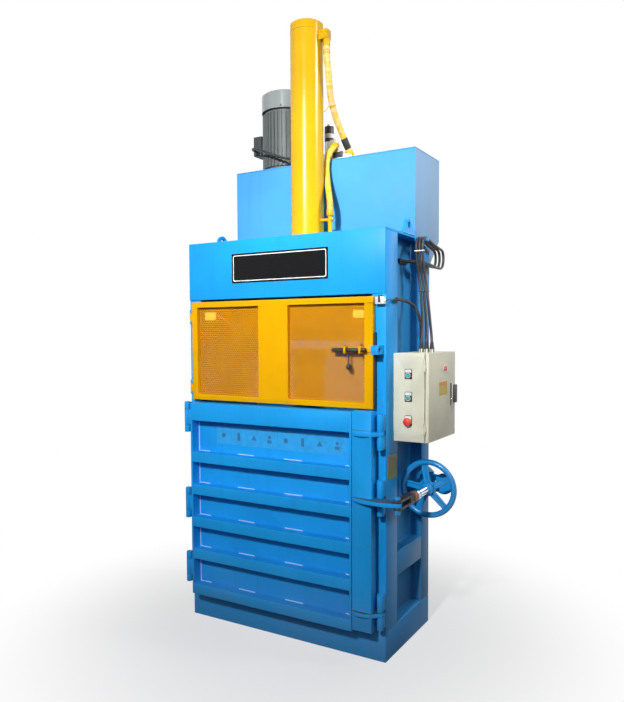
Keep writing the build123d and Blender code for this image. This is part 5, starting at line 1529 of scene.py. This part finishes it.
class BALER_OT_box(bpy.types.Operator):
    """Fit the control box with button holders, buttons, lamp, door handle and plain fields"""

    bl_idname = "baler.box"
    bl_label = "Control box"

    def execute(self, context):
        self.holders()
        self.buttons()
        self.lamp()
        self.handle()
        door = limits("control_box_door")[0][1] - 0.006
        for name, proud, y, z, corner, finish in (
            ("box_field", 0.0005, (-0.054, 0.063), (1.290, 1.358), 0.003, "field"),
            ("box_field_strip", 0.0008, (-0.0525, 0.0615), (1.3385, 1.3565), 0.002, "orange"),
        ):
            shape = ((door, door + proud), y, z, corner)
            plate_piece(name, shape, "control_box_door", finish)
        return {"FINISHED"}

    @staticmethod
    def holders():
        """Plates and legend plates of the buttons and the emergency stop, and the buttons' bezels."""
        face = limits("control_box_shell")[1][0] + 0.011
        front = face - 0.0030
        inner, outer, depth = 0.0112, 0.0148, 0.0052
        bezel = [(inner, 0.0), (outer, 0.0), (outer, 0.0035), (0.0132, depth), (inner, depth)]
        plates, legends, bezels = bmesh.new(), bmesh.new(), bmesh.new()
        for low, button in ((1.378, 1.396), (1.268, 1.286), (1.154, None)):
            high = low + 0.049
            plate(plates, (0.6595, 0.6965), (front, face), (low, high), 0.003, 0.0006)
            legend = (high - 0.0175, high - 0.0025)
            plate(legends, (0.6620, 0.6940), (face - 0.0036, face - 0.0028), legend, 0.0015)
            if button:
                turned(bezels, bezel, facing((0.678, front, button), FRONT))
        mesh_piece("button_plates", plates, "button_housings", "plastic")
        mesh_piece("button_legends", legends, "button_housings", "label")
        mesh_piece("button_bezels", bezels, "button_housings", "plated")

    @staticmethod
    def buttons():
        """Two dished buttons, and the mushroom of the emergency stop with its collar."""
        for name in ("upper_button", "lower_button"):
            place, radius = front_of(name)
            dish = [(0.0, -0.0006), (0.006, -0.0009), (0.009, -0.0004)]
            profile = [*dish, (radius, -0.0022), (radius, -0.018), (0.0, -0.018)]
            turned_piece(f"{name}_looks", profile, facing(place, FRONT), name, "green", replaces=(name,))
        place, radius = front_of("emergency_stop")
        cap = [(0.0, 0.0), (0.008, -0.0004), (0.014, -0.0018), (0.018, -0.0045), (radius, -0.008)]
        rim = [(radius, -0.0105), (0.0185, -0.0125)]
        stem = [(0.0105, -0.0135), (0.0105, -0.0205), (0.0, -0.0205)]
        turn, node = facing(place, FRONT), "emergency_stop"
        turned_piece(f"{node}_looks", cap + rim + stem, turn, node, "red", replaces=(node,))
        collar = [(0.012, -0.0185), (0.0165, -0.0185), (0.0175, -0.0192), (0.0175, -0.0252), (0.012, -0.0252)]
        turned_piece("stop_collar", collar, turn, "button_housings", "yellow_plastic")

    @staticmethod
    def lamp():
        """A bright ring with a domed lens, which stand for the plain lamp."""
        (face, _), (near_side, far_side), _ = limits("door_lamp")
        centre, radius = middle("door_lamp"), (far_side - near_side) / 2
        edge = [(radius, 0.0), (radius, 0.004), (radius - 0.0012, 0.0055)]
        ring = [(0.0, 0.0), *edge, (0.0, 0.0055)]
        dome = [(0.0122, 0.0040), (0.0122, 0.012), (0.0112, 0.0150), (0.0085, 0.0165)]
        lens = [(0.0, 0.0040), *dome, (0.0, 0.0170)]
        turn, node = facing((face, centre.y, centre.z), RIGHT), "door_lamp"
        turned_piece("lamp_ring", ring, turn, node, "plated", replaces=(node,))
        turned_piece("lamp_lens", lens, turn, node, "lens", replaces=(node,))

    @staticmethod
    def handle():
        """The handle on its plate, with a round lock beside it."""
        face = limits("box_door_handle")[0][0] + 0.002
        shape = ((face, face + 0.0030), (0.1105, 0.1575), (1.228, 1.344), 0.007, 0.0008)
        plate_piece("handle_plate", shape, "control_box_door", "plastic")
        softened("box_door_handle", "plastic", 0.0020)
        lock = (0.1215, 1.262)
        bm = bmesh.new()
        rod(bm, (face + 0.002, *lock), (face + 0.0062, *lock), 0.0065, segments=32, bevel=0.0006)
        block(bm, (face + 0.0060, face + 0.0066), (0.1207, 0.1223), (1.2575, 1.2665))
        mesh_piece("handle_lock", bm, "control_box_door", "plated")


class BALER_OT_bolt(bpy.types.Operator):
    """Add the screws of the slide bolt's guides, of the keeper on the post and of the door switch"""

    bl_idname = "baler.bolt"
    bl_label = "Slide bolt"

    def execute(self, context):
        post = limits("front_post_right")[1][0] + 0.0004
        guides = [(x, FEED_DOOR, z) for x in (0.3925, 0.4865) for z in (1.496, 1.544)]
        keeper = [(0.574, post, z) for z in (1.512, 1.540)]
        switch = [(0.562, FEED_DOOR + 0.0001, z) for z in (1.7455, 1.7625)]
        screws("guide_screws", guides, FRONT, 0.0048, "feed_door_frame", "dark", True)
        screws("keeper_screws", keeper, FRONT, 0.0042, "front_post_right", "blue_cast")
        screws("switch_screws", switch, FRONT, 0.0024, "door_switch", "plated")
        return {"FINISHED"}


class BALER_OT_stage(bpy.types.Operator):
    """Set up the floor, the lamps and the camera"""

    bl_idname = "baler.stage"
    bl_label = "Studio"

    def execute(self, context):
        scene = context.scene
        settings = scene.studio_settings
        bm = bmesh.new()
        bmesh.ops.create_grid(bm, x_segments=1, y_segments=1, size=30.0)
        mesh = bpy.data.meshes.new("studio_floor")
        bm.to_mesh(mesh)
        bm.free()
        floor = bpy.data.objects.new("studio_floor", mesh)
        scene.collection.objects.link(floor)
        mesh.materials.append(self.floor_material())

        light = Shader(bpy.data.worlds.new("studio_sky"))
        strength = settings.sky + (1.0 - settings.sky) * light.background_rays()
        background = light.node("ShaderNodeBackground", {}, {"Color": (*WHITE, 1.0), "Strength": strength})
        scene.world = light.finish(background, "ShaderNodeOutputWorld")

        for name, place, aim, size, power, spread in (
            ("key_lamp", (0.9, -4.5, 3.7), (0.0, -0.2, 2.3), 0.4, settings.key, 65.0),
            ("fill_lamp", (3.0, -5.0, 3.0), (0.3, 0.0, 2.0), 1.8, settings.fill, 100.0),
            ("side_lamp", (4.2, 0.9, 4.4), (0.6, 0.2, 2.5), 1.2, settings.side, 50.0),
            ("sheen_lamp", (2.35, 4.9, 3.4), (0.6, 0.2, 2.3), 3.0, settings.sheen, 180.0),
            ("left_panel", (-3.6, -4.4, 4.0), (0.2, -0.1, 2.3), 3.4, settings.panel, 180.0),
        ):
            self.lamp(name, place, aim, size, power, spread)
        for name, place in (("front_strip", (0.75, -4.5, 3.4)), ("right_strip", (3.9, -2.4, 3.4))):
            strip = self.lamp(name, place, (0.0, 0.0, 2.9), 0.16, settings.strip, 180.0)
            strip.shape = "RECTANGLE"
            strip.size_y = 2.6

        scene.view_settings.view_transform = "Standard"
        self.camera(scene)
        return {"FINISHED"}

    @staticmethod
    def floor_material():
        """Grey paper that fades to white away from the object, and is darker to rays that light it."""
        s = material("studio_floor")
        reach = s.node("ShaderNodeVectorMath", {"operation": "LENGTH"}, {0: s.place()}, output="Value")
        seen = s.background_rays()
        glow = s.node("ShaderNodeEmission", {}, {"Color": (*WHITE, 1.0), "Strength": 1.0})
        shown = s.mix(seen, (0.10, 0.12, 0.15), (0.86, 0.87, 0.88))
        paper = s.surface(Base_Color=shown, Roughness=0.5, Specular_IOR_Level=0.0)
        fade = seen * reach.ramp(0.5, 1.9, 0.55, 1.0)
        return s.finish(s.node("ShaderNodeMixShader", {}, {0: fade, 1: paper, 2: glow}))

    @staticmethod
    def lamp(name, place, aim, size, power, spread):
        """An area lamp aimed at a point, with its size in metres and its spread in degrees."""
        data = bpy.data.lights.new(name, "AREA")
        data.shape = "DISK"
        data.size = size
        data.energy = power
        data.spread = math.radians(spread)
        lamp = bpy.data.objects.new(name, data)
        bpy.context.scene.collection.objects.link(lamp)
        lamp.location = place
        lamp.rotation_mode = "QUATERNION"
        lamp.rotation_quaternion = (Vector(aim) - Vector(place)).to_track_quat("-Z", "Y")
        return data

    @staticmethod
    def camera(scene):
        """The camera at the photo's viewing angle, solved from the straight edges of the frame."""
        data = bpy.data.cameras.new("photo_camera")
        data.sensor_width = 36.0
        data.lens = 34.966
        data.shift_x = 0.0032
        data.shift_y = 0.0234
        data.clip_end = 60.0
        camera = bpy.data.objects.new("photo_camera", data)
        scene.collection.objects.link(camera)
        yaw, pitch, roll = (math.radians(angle) for angle in (30.801, -2.807, -0.281))
        level = Vector((math.cos(yaw), math.sin(yaw), 0.0))
        forward = Vector((-math.sin(yaw), math.cos(yaw), 0.0))
        ahead = forward * math.cos(pitch) + Vector((0.0, 0.0, math.sin(pitch)))
        above = level.cross(ahead)
        right = math.cos(roll) * level + math.sin(roll) * above
        up = math.cos(roll) * above - math.sin(roll) * level
        turn = Matrix((right, up, -ahead)).transposed().to_4x4()
        camera.matrix_world = Matrix.Translation((1.9455, -3.2476, 1.5971)) @ turn
        scene.camera = camera


OPERATORS = (
    BALER_OT_finishes,
    BALER_OT_plates,
    BALER_OT_welds,
    BALER_OT_sign,
    BALER_OT_screens,
    BALER_OT_bolt,
    BALER_OT_clamp,
    BALER_OT_wheel,
    BALER_OT_press,
    BALER_OT_hoses,
    BALER_OT_valves,
    BALER_OT_motor,
    BALER_OT_cables,
    BALER_OT_box,
    BALER_OT_stage,
)


class BALER_PT_looks(bpy.types.Panel):
    """Lists the steps that dress the baler"""

    bl_idname = "BALER_PT_looks"
    bl_label = "Baler looks"
    bl_space_type = "VIEW_3D"
    bl_region_type = "UI"
    bl_category = "Baler"

    def draw(self, context):
        layout = self.layout
        for settings, names in (
            (context.scene.paint_settings, ("blue", "yellow", "beige", "grey", "peel")),
            (context.scene.screen_settings, ("pitch", "hole")),
            (context.scene.wheel_settings, ("spokes", "rim")),
            (context.scene.studio_settings, ("key", "fill", "side", "sheen", "panel", "strip", "sky")),
        ):
            column = layout.column()
            for name in names:
                column.prop(settings, name)
        for operator in OPERATORS:
            layout.operator(operator.bl_idname)


SETTINGS = {
    "paint_settings": PaintSettings,
    "screen_settings": ScreenSettings,
    "wheel_settings": WheelSettings,
    "studio_settings": StudioSettings,
}


def register():
    """Register the settings, the operators and the panel."""
    for group in (*SETTINGS.values(), *OPERATORS, BALER_PT_looks):
        bpy.utils.register_class(group)
    for name, group in SETTINGS.items():
        setattr(bpy.types.Scene, name, PointerProperty(type=group))


def unregister():
    """Take back what register has added."""
    for name in SETTINGS:
        delattr(bpy.types.Scene, name)
    for group in reversed((*SETTINGS.values(), *OPERATORS, BALER_PT_looks)):
        bpy.utils.unregister_class(group)


def main():
    """Dress the baler."""
    register()
    for operator in OPERATORS:
        group, name = operator.bl_idname.split(".")
        getattr(getattr(bpy.ops, group), name)()


if __name__ == "__main__":
    main()
